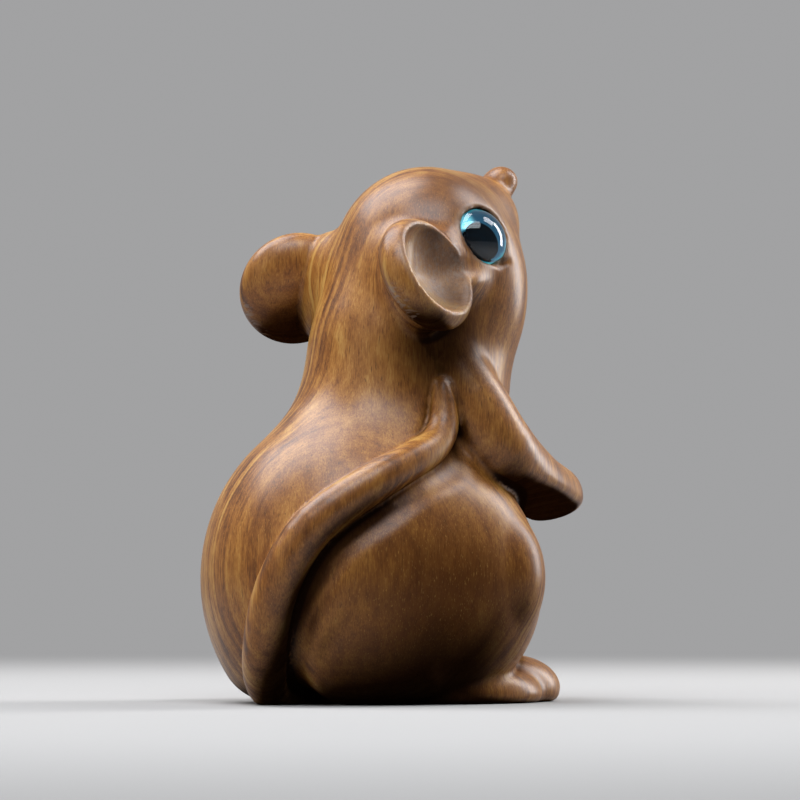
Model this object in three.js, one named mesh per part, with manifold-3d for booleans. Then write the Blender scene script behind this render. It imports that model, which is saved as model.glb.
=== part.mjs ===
// A seated rat figurine: one carved block of wood with two inlaid glass eyes.
// Millimetres, +Z up. The rat faces -Y and its right side is -X.
// The origin is on its flat base, under the spine.
// Paired features are given for the right side and mirrored to the left.
import * as THREE from "three";
import { mergeVertices } from "three/addons/utils/BufferGeometryUtils.js";
import Module from "manifold-3d";

const at = (x, y, z) => new THREE.Vector3(x, y, z);
const { clamp, degToRad, lerp } = THREE.MathUtils;

// Trunk: the size of each form, and where its middle lies from the form that carries it
const hips = { width: 43, depth: 47, height: 49.2, back: 5.2, rise: 17.2 };
const neck = { width: 27, depth: 29.8, height: 40, fore: 7.5, lift: 4.2 };
const head = { width: 26.4, depth: 26.8, height: 28.2, fore: 3.2, sink: 4.6 };
const snout = { width: 13, depth: 12.4, height: 11.6, fore: 8.1, rise: 7.2 };
const cheek = { width: 14, depth: 13, height: 19, side: 5, fore: 5, drop: 5 };
const trunkFillet = 9;
const faceFillet = 4;

// Nose button, seated on the snout
const nose = { width: 5.2, depth: 4.6, height: 4.4, stand: 1.6, fillet: 2.6, inset: 0.2 };
const noseToward = at(0, -6, 6.5);
const noseSides = 16;
const noseRings = 10;

// Hind legs: the thighs stand proud of the hips, each with a knee in front.
// The feet and heels are tucked under them.
const thigh = { width: 23, depth: 26.8, height: 32, proud: 1, fore: 6.7, drop: 0.7, fillet: 2 };
const knee = { width: 16, depth: 14, height: 20, outwards: 3.9, fore: 4.2, rise: 0.8, fillet: 0.6 };
const foot = { width: 11.6, depth: 15.8, height: 8.4, inwards: 2, tuck: 1.7, rise: 1.9, fillet: 1.5 };
const heel = { width: 11, depth: 20, height: 8, outwards: 3.8, back: 8, sink: 0.7 };

// Forelegs: their spread, reach and drop from the neck.
// Each station has shares of these, on a smooth curve from shoulder to paw. The palm is cut flat.
const arm = { spread: 10, reach: 20.1, drop: 17.1, radius: 5, fillet: 0.9 };
const armStations = [
  { spread: 0.86, reach: -0.02, drop: -0.1, radius: 1 },
  { spread: 1.2, reach: 0.11, drop: 0.3, radius: 1.06 },
  { spread: 1.36, reach: 0.267, drop: 0.64, radius: 1.08 },
  { spread: 1.12, reach: 0.635, drop: 0.9, radius: 1 },
  { spread: 0.74, reach: 0.98, drop: 1, radius: 0.92 },
];
const armSteps = 12;
const palm = { drop: 2.4, fillet: 0.6 };
const palmFaces = at(-0.38, 0, -0.925);

// Ears: thick discs, trimmed to a lip, on roots that run into the head and the temples.
// Each is hollowed by a bowl and by a channel that runs out on the cheek.
const ear = { radius: 8.3, halfDepth: 4.5, side: 15.6, back: 11.6, sink: 2.7, trim: 2.4 };
const earOpens = at(-0.863, -0.292, 0.412);
const earRoot = { width: 27, depth: 8.6, height: 16.4, inwards: 8, fore: 2.2, drop: 0.2, fillet: 1.2 };
const temple = { width: 15, depth: 15, height: 13, inwards: 7.6, fore: 7.4, rise: 1.6 };
const lipFillet = 1;
const bowl = { radius: 6.8, halfDepth: 4.4, lift: 3.2 };
const channel = { width: 4.8, depth: 6, length: 18, fore: 4.5, rise: 0.6, lift: 3.2 };
const channelLean = 21;
const earSides = 28;
const earRings = 16;
// A crease behind each ear sets its back off from the neck.
// Each station has its turn round the ear, from the front over the top, and a share of the radius.
const crease = { radius: 1.1, reach: 8.6, sink: 1.5 };
const creaseStations = [
  { turn: 75, radius: 0.3 },
  { turn: 105, radius: 0.75 },
  { turn: 135, radius: 0.95 },
  { turn: 162, radius: 1 },
  { turn: 190, radius: 0.95 },
  { turn: 220, radius: 0.75 },
  { turn: 250, radius: 0.3 },
];
const creaseSteps = 14;
const creaseSides = 8;

// Tail: how high it rises, its half width and how deep its foot is tucked into the haunch.
// Each station has its turn round the spine towards the right, and shares of these sizes.
const tail = { rise: 44.2, halfWidth: 3.3, tuck: 3 };
const tailStations = [
  { turn: 4, rise: 0.01, halfWidth: 0.91, tuck: 1 },
  { turn: 7.5, rise: 0.06, halfWidth: 0.97, tuck: 0.4 },
  { turn: 15.8, rise: 0.17, halfWidth: 0.97, tuck: 0 },
  { turn: 24, rise: 0.362, halfWidth: 0.94, tuck: 0 },
  { turn: 32.5, rise: 0.536, halfWidth: 0.91, tuck: 0 },
  { turn: 49, rise: 0.674, halfWidth: 0.85, tuck: 0 },
  { turn: 62, rise: 0.742, halfWidth: 0.76, tuck: 0 },
  { turn: 75, rise: 0.8, halfWidth: 0.7, tuck: 0.07 },
  { turn: 80, rise: 0.86, halfWidth: 0.68, tuck: 0.08 },
  { turn: 77, rise: 0.928, halfWidth: 0.58, tuck: 0.16 },
  { turn: 73, rise: 1, halfWidth: 0.38, tuck: 0.3 },
  { turn: 70, rise: 1.06, halfWidth: 0.2, tuck: 0.5 },
];
// A round groove beside the tail sets it off from the haunch
const groove = { radius: 3.2, side: 1.2, lift: 1.7 };
const grooveLeast = 0.3;
const tailSteps = 36;
const tailSides = 14;

// Base: edges are rounded towards a plane just under the ground, then cut flat at the ground
const baseFillet = 4.2;
const footBaseFillet = 1.5;
const baseSink = 0.4;

// Glass eyes: a clear dome over a foil ring with a black button, bedded in a drilled socket
const eyeToward = at(-11.5, -1, 3.5);
const eyeFaces = at(-0.92, -0.13, 0.37);
const lensRadius = 4;
const lensEdge = 0.8;
const lensDome = 2.2;
const lensSink = 0.5;
const irisThickness = 0.35;
const irisInset = 0.1;
const pupilRadius = 2.1;
const bedThickness = 0.4;
const bedRadius = 3.6;
const socketClearance = 0.3;
const layerGap = 0.3;
const eyeSides = 40;
const domeSteps = 6;

// The grid that the carved surface is sampled on.
// A filled corner lies under the surface by this share of a cell.
const cell = 2.1;
const fillDepth = 0.05;

// Ray search for a point on a surface, and the step for a surface's direction
const raySteps = 200;
const rayShare = 0.8;
const rayTolerance = 1e-4;
const slopeStep = 0.05;

// Distance fields: each returns the distance from a point to a form, negative inside it
function ellipsoid({ centre, radii }) {
  const local = new THREE.Vector3();
  const slope = new THREE.Vector3();
  return (p) => {
    local.copy(p).sub(centre).divide(radii);
    const reach = local.length();
    const steepness = slope.copy(local).divide(radii).length();
    return steepness > 0 ? (reach * (reach - 1)) / steepness : -Math.min(...radii);
  };
}

function cone(from, to, radiusFrom, radiusTo) {
  const axis = to.clone().sub(from);
  const lengthSquared = axis.lengthSq();
  const local = new THREE.Vector3();
  return (p) => {
    local.copy(p).sub(from);
    const share = clamp(local.dot(axis) / lengthSquared, 0, 1);
    return local.addScaledVector(axis, -share).length() - lerp(radiusFrom, radiusTo, share);
  };
}

function halfSpace(point, outwards) {
  const unit = outwards.clone().normalize();
  const offset = unit.dot(point);
  return (p) => unit.dot(p) - offset;
}

function join(a, b, fillet) {
  return (p) => {
    const da = a(p);
    const db = b(p);
    const overlap = Math.max(fillet - Math.abs(da - db), 0) / fillet;
    return Math.min(da, db) - (overlap * overlap * fillet) / 4;
  };
}

function carve(body, tool, fillet) {
  const kept = join((p) => -body(p), tool, fillet);
  return (p) => -kept(p);
}

function keepInside(body, bound, fillet) {
  return carve(body, (p) => -bound(p), fillet);
}

function mirrored(form) {
  const local = new THREE.Vector3();
  return (p) => form(local.set(-Math.abs(p.x), p.y, p.z));
}

// The way that leads straight out of a form
function outOf(form, point) {
  const slope = [at(slopeStep, 0, 0), at(0, slopeStep, 0), at(0, 0, slopeStep)].map((step) => {
    return form(point.clone().add(step)) - form(point.clone().sub(step));
  });
  return at(...slope).normalize();
}

// The value part of the way along a row
function along(row, share) {
  const place = share * (row.length - 1);
  const index = Math.min(Math.floor(place), row.length - 2);
  return lerp(row[index], row[index + 1], place - index);
}

// The point where a ray that starts inside a form leaves it
function surfacePoint(form, start, direction) {
  const unit = direction.clone().normalize();
  const point = start.clone();
  for (let step = 0; step < raySteps; step++) {
    const distance = form(point);
    if (Math.abs(distance) < rayTolerance) break;
    point.addScaledVector(unit, -distance * rayShare);
  }
  return point;
}

// Each form's middle and half sizes, from the form that carries it
function placed(carrier, { width, depth, height }, offset) {
  return { centre: carrier.centre.clone().add(offset), radii: at(width / 2, depth / 2, height / 2) };
}
const hipsForm = placed({ centre: at(0, 0, 0) }, hips, at(0, hips.back, hips.rise));
const neckForm = placed(hipsForm, neck, at(0, -neck.fore, hips.height / 2 + neck.lift));
const headForm = placed(neckForm, head, at(0, -head.fore, neck.height / 2 - head.sink));
const snoutForm = placed(headForm, snout, at(0, -snout.fore, snout.rise));
const cheekForm = placed(headForm, cheek, at(-cheek.side, -cheek.fore, -cheek.drop));
const thighSide = hips.width / 2 + thigh.proud - thigh.width / 2;
const thighForm = placed(hipsForm, thigh, at(-thighSide, -thigh.fore, -thigh.drop));
const kneeForm = placed(thighForm, knee, at(-knee.outwards, -knee.fore, knee.rise));
const footForm = placed(thighForm, foot, at(foot.inwards, foot.tuck - thigh.depth / 2, 0));
footForm.centre.setZ(foot.rise);
const heelForm = placed(footForm, heel, at(-heel.outwards, heel.back, -heel.sink));

// Trunk, face and haunches, with the base rounded
let trunk = join(ellipsoid(hipsForm), ellipsoid(neckForm), trunkFillet);
trunk = join(trunk, ellipsoid(headForm), faceFillet);
trunk = join(trunk, ellipsoid(snoutForm), faceFillet);
trunk = join(trunk, mirrored(ellipsoid(cheekForm)), faceFillet);
let haunches = join(trunk, mirrored(ellipsoid(thighForm)), thigh.fillet);
haunches = join(haunches, mirrored(ellipsoid(kneeForm)), knee.fillet);
const base = halfSpace(at(0, 0, -baseSink), at(0, 0, -1));
const seat = keepInside(haunches, base, baseFillet);
const longFoot = join(ellipsoid(footForm), ellipsoid(heelForm), foot.fillet);
const standingFoot = keepInside(longFoot, base, footBaseFillet);

// Nose: a core for its root, and later the button itself
const noseSeat = surfacePoint(trunk, snoutForm.centre, noseToward);
const noseOffset = noseToward.clone().setLength(nose.stand);
const noseForm = placed({ centre: noseSeat }, nose, noseOffset);
const coreRadii = noseForm.radii.clone().subScalar(nose.inset);
const noseCore = ellipsoid({ centre: noseForm.centre, radii: coreRadii });

// Forelegs
const armCurve = new THREE.CatmullRomCurve3(armStations.map(({ spread, reach, drop }) => {
  return neckForm.centre.clone().sub(at(arm.spread * spread, arm.reach * reach, arm.drop * drop));
}));
const armRadii = armStations.map(({ radius }) => arm.radius * radius);
const armBalls = Array.from({ length: armSteps + 1 }, (_, step) => {
  const share = step / armSteps;
  return { centre: armCurve.getPoint(share), radius: along(armRadii, share) };
});
const armPieces = armBalls.slice(1).map((end, i) => {
  return cone(armBalls[i].centre, end.centre, armBalls[i].radius, end.radius);
});
const armTube = (p) => Math.min(...armPieces.map((piece) => piece(p)));
const palmPoint = armBalls.at(-1).centre.clone().add(palmFaces.clone().setLength(palm.drop));
const foreleg = keepInside(armTube, halfSpace(palmPoint, palmFaces), palm.fillet);

// Ear frame: outwards along the ear's axis, and up and forwards in the plane of its disc
const earCentre = headForm.centre.clone().add(at(-ear.side, ear.back, -ear.sink));
const earAxis = earOpens.clone().normalize();
const earUp = at(0, 0, 1).projectOnPlane(earAxis).normalize();
const earFore = earUp.clone().cross(earAxis);
const inEar = (lift) => earCentre.clone().addScaledVector(earAxis, lift);

// The ear's root, cut off at the plane of the lip. The disc itself is added later.
const rootOffset = at(earRoot.inwards, -earRoot.fore, -earRoot.drop);
const templeOffset = at(temple.inwards, -temple.fore, temple.rise);
const rootForm = placed({ centre: earCentre }, earRoot, rootOffset);
const templeForm = placed({ centre: earCentre }, temple, templeOffset);
const earBlend = join(ellipsoid(rootForm), ellipsoid(templeForm), earRoot.fillet);
const earStem = keepInside(earBlend, halfSpace(inEar(ear.trim), earAxis), lipFillet);

// Crease: a curve round the back of the ear
const creaseCurve = new THREE.CatmullRomCurve3(creaseStations.map(({ turn }) => {
  const place = inEar(-crease.sink).addScaledVector(earFore, crease.reach * Math.cos(degToRad(turn)));
  return place.addScaledVector(earUp, crease.reach * Math.sin(degToRad(turn)));
}));
const creaseRadii = creaseStations.map(({ radius }) => crease.radius * radius);

// Tail: a smooth curve on the haunch
const spine = new THREE.Line3(hipsForm.centre, neckForm.centre);
function tailPlace({ turn, rise, tuck }) {
  const height = tail.rise * rise;
  const direction = at(-Math.sin(degToRad(turn)), Math.cos(degToRad(turn)), 0);
  const share = (height - spine.start.z) / (spine.end.z - spine.start.z);
  const start = spine.at(clamp(share, 0, 1), new THREE.Vector3()).setZ(height);
  return surfacePoint(seat, start, direction).addScaledVector(direction, -tail.tuck * tuck);
}
const tailCurve = new THREE.CatmullRomCurve3(tailStations.map(tailPlace));
const tailRadii = tailStations.map(({ halfWidth }) => tail.halfWidth * halfWidth);

// Groove: a curve along the haunch side of the tail
const groovePlaces = tailCurve.points.map((place, i) => {
  const tangent = tailCurve.getTangent(i / (tailStations.length - 1));
  const outwards = outOf(seat, place);
  const sideways = tangent.cross(outwards).normalize();
  const reach = tailRadii[i] + groove.side;
  return place.clone().addScaledVector(sideways, reach).addScaledVector(outwards, groove.lift);
});
const grooveCurve = new THREE.CatmullRomCurve3(groovePlaces);
const grooveRadii = tailStations.map(({ halfWidth }) => groove.radius * Math.max(halfWidth, grooveLeast));

// The carving without its tail
let carving = join(seat, mirrored(standingFoot), foot.fillet);
carving = join(carving, mirrored(foreleg), arm.fillet);
carving = join(carving, noseCore, nose.fillet);
carving = join(carving, mirrored(earStem), earRoot.fillet);

// The box that holds the carving: a join bulges by up to a quarter of its fillet
const forms = [hipsForm, neckForm, headForm, snoutForm, noseForm, rootForm];
forms.push(thighForm, kneeForm, footForm, heelForm);
for (const { centre, radius } of armBalls) {
  forms.push({ centre, radii: at(radius, radius, radius) });
}
const blank = new THREE.Box3();
for (const { centre, radii } of forms) {
  blank.expandByPoint(centre.clone().add(radii)).expandByPoint(centre.clone().sub(radii));
}
blank.expandByScalar(trunkFillet / 4 + 2 * cell);
blank.max.x = -blank.min.x;

// Surface nets: one vertex in each grid cell that the surface crosses, joined into quads
function meshOf(form, box, size) {
  const [nx, ny, nz] = box.getSize(at(0, 0, 0)).divideScalar(size).ceil().addScalar(1).toArray();
  const index = (i, j, k) => i + nx * (j + ny * k);
  const place = (i, j, k) => at(i, j, k).multiplyScalar(size).add(box.min);
  const values = new Float32Array(nx * ny * nz);
  const eachCell = (visit, first, last) => {
    for (let k = first; k < nz - last; k++) {
      for (let j = first; j < ny - last; j++) {
        for (let i = first; i < nx - last; i++) visit(i, j, k);
      }
    }
  };
  eachCell((i, j, k) => (values[index(i, j, k)] = form(place(i, j, k))), 0, 0);

  // Where the surface crosses a grid face twice, the shallower corner is filled, so that no sheets touch
  const steps = [1, nx, nx * ny];
  const inside = (corner) => values[corner] < 0;
  let filling = true;
  const fillFace = (a, b, c, d) => {
    if (inside(a) !== inside(c) || inside(b) !== inside(d) || inside(a) === inside(b)) return;
    const [first, second] = inside(a) ? [b, d] : [a, c];
    values[values[first] < values[second] ? first : second] = -size * fillDepth;
    filling = true;
  };
  while (filling) {
    filling = false;
    eachCell((i, j, k) => {
      const here = index(i, j, k);
      steps.forEach((u, axis) => {
        const v = steps[(axis + 1) % 3];
        fillFace(here, here + u, here + u + v, here + v);
      });
    }, 0, 1);
  }

  const corners = Array.from({ length: 8 }, (_, c) => [c & 1, (c >> 1) & 1, c >> 2]);
  const edges = corners.flatMap((_, a) => [1, 2, 4].filter((bit) => !(a & bit)).map((bit) => [a, a | bit]));
  const vertexOf = new Map();
  const positions = [];
  eachCell((i, j, k) => {
    const value = corners.map(([x, y, z]) => values[index(i + x, j + y, k + z)]);
    const crossed = edges.filter(([a, b]) => value[a] < 0 !== value[b] < 0);
    if (!crossed.length) return;
    const middle = at(0, 0, 0);
    for (const [a, b] of crossed) {
      middle.add(at(...corners[a]).lerp(at(...corners[b]), value[a] / (value[a] - value[b])));
    }
    middle.divideScalar(crossed.length).add(at(i, j, k)).multiplyScalar(size).add(box.min);
    vertexOf.set(index(i, j, k), positions.length / 3);
    positions.push(...middle);
  }, 0, 1);

  const triangles = [];
  eachCell((i, j, k) => {
    const here = index(i, j, k);
    steps.forEach((step, axis) => {
      if (inside(here) === inside(here + step)) return;
      const u = steps[(axis + 1) % 3];
      const v = steps[(axis + 2) % 3];
      const quad = [here - u - v, here - v, here, here - u].map((c) => vertexOf.get(c));
      if (!inside(here)) quad.reverse();
      triangles.push(quad[0], quad[1], quad[2], quad[0], quad[2], quad[3]);
    });
  }, 1, 1);
  const geometry = new THREE.BufferGeometry();
  geometry.setAttribute("position", new THREE.Float32BufferAttribute(positions, 3));
  return geometry.setIndex(triangles);
}

// Joining and cutting of closed meshes
const wasm = await Module();
wasm.setup();

function solid(geometry) {
  const bare = geometry.clone();
  bare.deleteAttribute("normal");
  bare.deleteAttribute("uv");
  const merged = mergeVertices(bare);
  const vertProperties = new Float32Array(merged.attributes.position.array);
  const triVerts = new Uint32Array(merged.index.array);
  return new wasm.Manifold(new wasm.Mesh({ numProp: 3, vertProperties, triVerts }));
}

function geometryOf(manifold) {
  const mesh = manifold.getMesh();
  const geometry = new THREE.BufferGeometry();
  geometry.setAttribute("position", new THREE.BufferAttribute(mesh.vertProperties, 3));
  return geometry.setIndex(new THREE.BufferAttribute(mesh.triVerts, 1));
}

const materials = {
  wood: { color: 0x8a5a30, roughness: 0.4, metalness: 0 },
  glass: { color: 0xdff2f6, roughness: 0.05, metalness: 0, transparent: true, opacity: 0.35 },
  foil: { color: 0x1f8fae, roughness: 0.25, metalness: 0.8 },
  enamel: { color: 0x0a0a0c, roughness: 0.15, metalness: 0 },
  adhesive: { color: 0xd8c690, roughness: 0.5, metalness: 0 },
};

function part(name, geometry, finish) {
  const mesh = new THREE.Mesh(geometry, new THREE.MeshStandardMaterial(materials[finish]));
  mesh.name = name;
  return mesh;
}

// A turned piece: its profile of radius and height, spun about +Z
function turned(profile, sides) {
  const points = profile.map(([radius, height]) => new THREE.Vector2(radius, height));
  return new THREE.LatheGeometry(points, sides).rotateX(Math.PI / 2);
}

const plate = (radius, thickness) => [[0, 0], [radius, 0], [radius, thickness], [0, thickness]];

// Levels of the eye's layers along its axis, from the carved surface inwards
const lensBase = -lensSink - lensEdge;
const irisBase = lensBase - layerGap - irisThickness;
const bedBase = irisBase - layerGap - bedThickness;
const socketFloor = bedBase - layerGap;
const socketRadius = lensRadius + socketClearance;
const domeSphere = (lensRadius ** 2 + lensDome ** 2) / (2 * lensDome);
const domeAngle = Math.asin(Math.min(lensRadius / domeSphere, 1));

function lensProfile() {
  const profile = [[0, 0], [lensRadius, 0]];
  for (let step = 0; step <= domeSteps; step++) {
    const angle = domeAngle * (1 - step / domeSteps);
    const height = lensEdge + lensDome - domeSphere * (1 - Math.cos(angle));
    profile.push([domeSphere * Math.sin(angle), height]);
  }
  return profile;
}

function irisProfile() {
  const outer = lensRadius - irisInset;
  const inner = pupilRadius + layerGap;
  return [[inner, 0], [outer, 0], [outer, irisThickness], [inner, irisThickness], [inner, 0]];
}

const eyeSeat = surfacePoint(carving, headForm.centre, eyeToward);

function eyeLayer(name, profile, base, finish) {
  return part(name, turned(profile, eyeSides).translate(0, 0, base), finish);
}

function eye(side, mirror) {
  const group = new THREE.Group();
  group.add(eyeLayer(`${side}_eye_lens`, lensProfile(), lensBase, "glass"));
  group.add(eyeLayer(`${side}_eye_iris`, irisProfile(), irisBase, "foil"));
  group.add(eyeLayer(`${side}_eye_pupil`, plate(pupilRadius, irisThickness), irisBase, "enamel"));
  group.add(eyeLayer(`${side}_eye_adhesive`, plate(bedRadius, bedThickness), bedBase, "adhesive"));
  group.position.copy(eyeSeat).multiply(mirror);
  group.quaternion.setFromUnitVectors(at(0, 0, 1), eyeFaces.clone().normalize().multiply(mirror));
  return group;
}

const sides = [at(1, 1, 1), at(-1, 1, 1)];
const eyes = ["right", "left"].map((side, i) => eye(side, sides[i]));

// A spindle along +Z from 0 to 1, bent so that its axis follows a curve
function bent(spindle, curve, steps) {
  const { normals, binormals } = curve.computeFrenetFrames(steps);
  const place = spindle.getAttribute("position");
  for (let i = 0; i < place.count; i++) {
    const ring = Math.round(place.getZ(i) * steps);
    const point = curve.getPointAt(ring / steps);
    point.addScaledVector(normals[ring], place.getX(i));
    point.addScaledVector(binormals[ring], place.getY(i));
    place.setXYZ(i, ...point);
  }
  return spindle;
}

// A tapering cord along a curve, with its radius at each station
function cord(curve, radii, steps, sides) {
  const rings = Array.from({ length: steps + 1 }, (_, ring) => ring / steps);
  const profile = rings.map((share) => [along(radii, curve.getUtoTmapping(share)), share]);
  return bent(turned([[0, 0], ...profile, [0, 1]], sides), curve, steps);
}

function facing(geometry, axis, centre) {
  const turn = new THREE.Quaternion().setFromUnitVectors(at(0, 0, 1), axis.clone().normalize());
  return geometry.applyQuaternion(turn).translate(...centre);
}

function ball(radii) {
  return new THREE.SphereGeometry(1, earSides, earRings).rotateX(Math.PI / 2).scale(...radii);
}

function flatBall({ radius, halfDepth }) {
  return ball(at(radius, radius, halfDepth));
}

// A closed mesh and its mirror image, with the image's faces turned outwards again
function bothSides(geometry) {
  const image = geometry.clone().scale(-1, 1, 1);
  image.index.array.reverse();
  return [solid(geometry), solid(image)];
}

// The nose, tail and ears are added to the block, which is then cut flat at the ground
const reach = blank.getSize(at(0, 0, 0)).length();
const cutter = () => new THREE.BoxGeometry(reach, reach, reach).translate(0, 0, reach / 2);
const noseButton = new THREE.SphereGeometry(1, noseSides, noseRings);
let block = solid(meshOf(carving, blank, cell));
block = block.add(solid(noseButton.scale(...noseForm.radii).translate(...noseForm.centre)));
block = block.subtract(solid(cord(grooveCurve, grooveRadii, tailSteps, tailSides)));
block = block.add(solid(cord(tailCurve, tailRadii, tailSteps, tailSides)));

// Ears: the crease is cut behind the disc, which is trimmed in front of its lip.
// Then bowl and channel are cut through disc and cheek.
const earTurn = new THREE.Matrix4().makeBasis(earAxis, earFore, earUp);
earTurn.multiply(new THREE.Matrix4().makeRotationZ(-degToRad(channelLean)));
const channelRadii = at(channel.depth, channel.length, channel.width).divideScalar(2);
const channelCentre = inEar(channel.lift);
channelCentre.addScaledVector(earFore, channel.fore).addScaledVector(earUp, channel.rise);
const discs = bothSides(facing(flatBall(ear), earAxis, earCentre));
const fronts = bothSides(facing(cutter(), earAxis, inEar(ear.trim)));
const bowls = bothSides(facing(flatBall(bowl), earAxis, inEar(bowl.lift)));
const creases = bothSides(cord(creaseCurve, creaseRadii, creaseSteps, creaseSides));
const channels = bothSides(ball(channelRadii).applyMatrix4(earTurn).translate(...channelCentre));
for (const side of [0, 1]) {
  const disc = discs[side].subtract(fronts[side]);
  block = block.subtract(creases[side]).add(disc);
  block = block.subtract(bowls[side]).subtract(channels[side]);
}
block = block.subtract(solid(facing(cutter(), at(0, 0, -1), at(0, 0, 0))));

// Eye sockets
const drill = turned(plate(socketRadius, lensRadius - socketFloor), eyeSides).translate(0, 0, socketFloor);
for (const { position, quaternion } of eyes) {
  block = block.subtract(solid(drill.clone().applyQuaternion(quaternion).translate(...position)));
}

const figurine = new THREE.Group();
figurine.add(part("carved_body", geometryOf(block), "wood"), ...eyes);

export default figurine;
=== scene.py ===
"""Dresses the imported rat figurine: a finely carved wooden body and inlaid glass eyes on a plain studio floor.

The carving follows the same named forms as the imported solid, in millimetres, and is sampled on a finer grid.
"""

import logging
import math
from dataclasses import dataclass
from enum import Enum
from typing import Callable, Sequence, Union

import bmesh
import bpy
import numpy as np
from mathutils import Matrix, Vector


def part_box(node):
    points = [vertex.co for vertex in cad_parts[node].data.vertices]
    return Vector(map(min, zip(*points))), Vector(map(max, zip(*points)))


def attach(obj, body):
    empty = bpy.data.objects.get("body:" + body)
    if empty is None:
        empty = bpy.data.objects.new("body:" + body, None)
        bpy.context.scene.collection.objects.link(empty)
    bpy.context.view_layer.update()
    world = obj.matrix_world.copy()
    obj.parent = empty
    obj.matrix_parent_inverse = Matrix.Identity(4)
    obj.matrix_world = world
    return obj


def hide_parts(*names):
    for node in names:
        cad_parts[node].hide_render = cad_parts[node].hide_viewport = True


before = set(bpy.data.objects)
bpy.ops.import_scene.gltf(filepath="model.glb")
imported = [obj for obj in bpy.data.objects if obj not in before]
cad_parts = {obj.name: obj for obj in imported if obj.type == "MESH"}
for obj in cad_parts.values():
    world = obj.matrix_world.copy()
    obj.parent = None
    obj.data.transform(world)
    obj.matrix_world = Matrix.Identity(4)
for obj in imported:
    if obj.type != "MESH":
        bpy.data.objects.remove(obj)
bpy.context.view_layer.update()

LOG = logging.getLogger("figurine")
MM = 0.001
# Keeps a division away from zero
TINY = 1e-9
BODY = "root"

Triple = tuple[float, float, float]
Colour = tuple[float, float, float]
Points = np.ndarray

BLACK: Colour = (0.0, 0.0, 0.0)
ORIGIN: Triple = (0.0, 0.0, 0.0)
# The corners of a grid cell
CUBE = tuple((c & 1, (c >> 1) & 1, c >> 2) for c in range(8))


def vec(x: float, y: float, z: float) -> np.ndarray:
    """A point or direction in millimetres."""
    return np.array([x, y, z], float)


def unit(direction: np.ndarray) -> np.ndarray:
    """The direction at length one."""
    return direction / np.linalg.norm(direction)


def facing(outwards: Triple) -> tuple[np.ndarray, np.ndarray, np.ndarray]:
    """The directions of a round piece on the figure's right side.

    Args:
        outwards: The way that it faces.

    Returns:
        Its axis, the way up over its face, and the way forwards over it.
    """
    axis = unit(vec(*outwards))
    level = vec(0, 0, 1)
    up = unit(level - axis * (level @ axis))
    return axis, up, np.cross(up, axis)


def on_right(p: Points) -> Points:
    """Points carried to the figure's right side."""
    return np.stack([-np.abs(p[0]), p[1], p[2]])


def along_across(p: Points, point: np.ndarray, axis: np.ndarray) -> tuple[np.ndarray, np.ndarray]:
    """Where points lie from an axis.

    Args:
        p: Points in three rows.
        point: A point on the axis.
        axis: The axis, at length one.

    Returns:
        How far each lies along the axis, and how far away from it.
    """
    local = p - point[:, None]
    along = axis @ local
    return along, np.sqrt(np.maximum((local * local).sum(0) - along * along, 0))


def add_object(name: str, data: bpy.types.ID) -> bpy.types.Object:
    """Adds an object to the scene.

    Args:
        name: Its name.
        data: Its mesh, lamp or camera.

    Returns:
        The object.
    """
    made = bpy.data.objects.new(name, data)
    bpy.context.scene.collection.objects.link(made)
    return made


def stand_for(piece: bpy.types.Object, node: str) -> None:
    """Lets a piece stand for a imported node.

    Args:
        piece: The piece.
        node: The node that it replaces.
    """
    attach(piece, BODY)
    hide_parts(node)


class Side(Enum):
    """The two sides of the figure, by the sign that turns the right side into them."""

    RIGHT = 1
    LEFT = -1

    @property
    def word(self) -> str:
        """The side's name in lower case."""
        return self.name.lower()

    @property
    def flip(self) -> np.ndarray:
        """Factors that carry a right-hand point to this side."""
        return vec(self.value, 1, 1)


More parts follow.
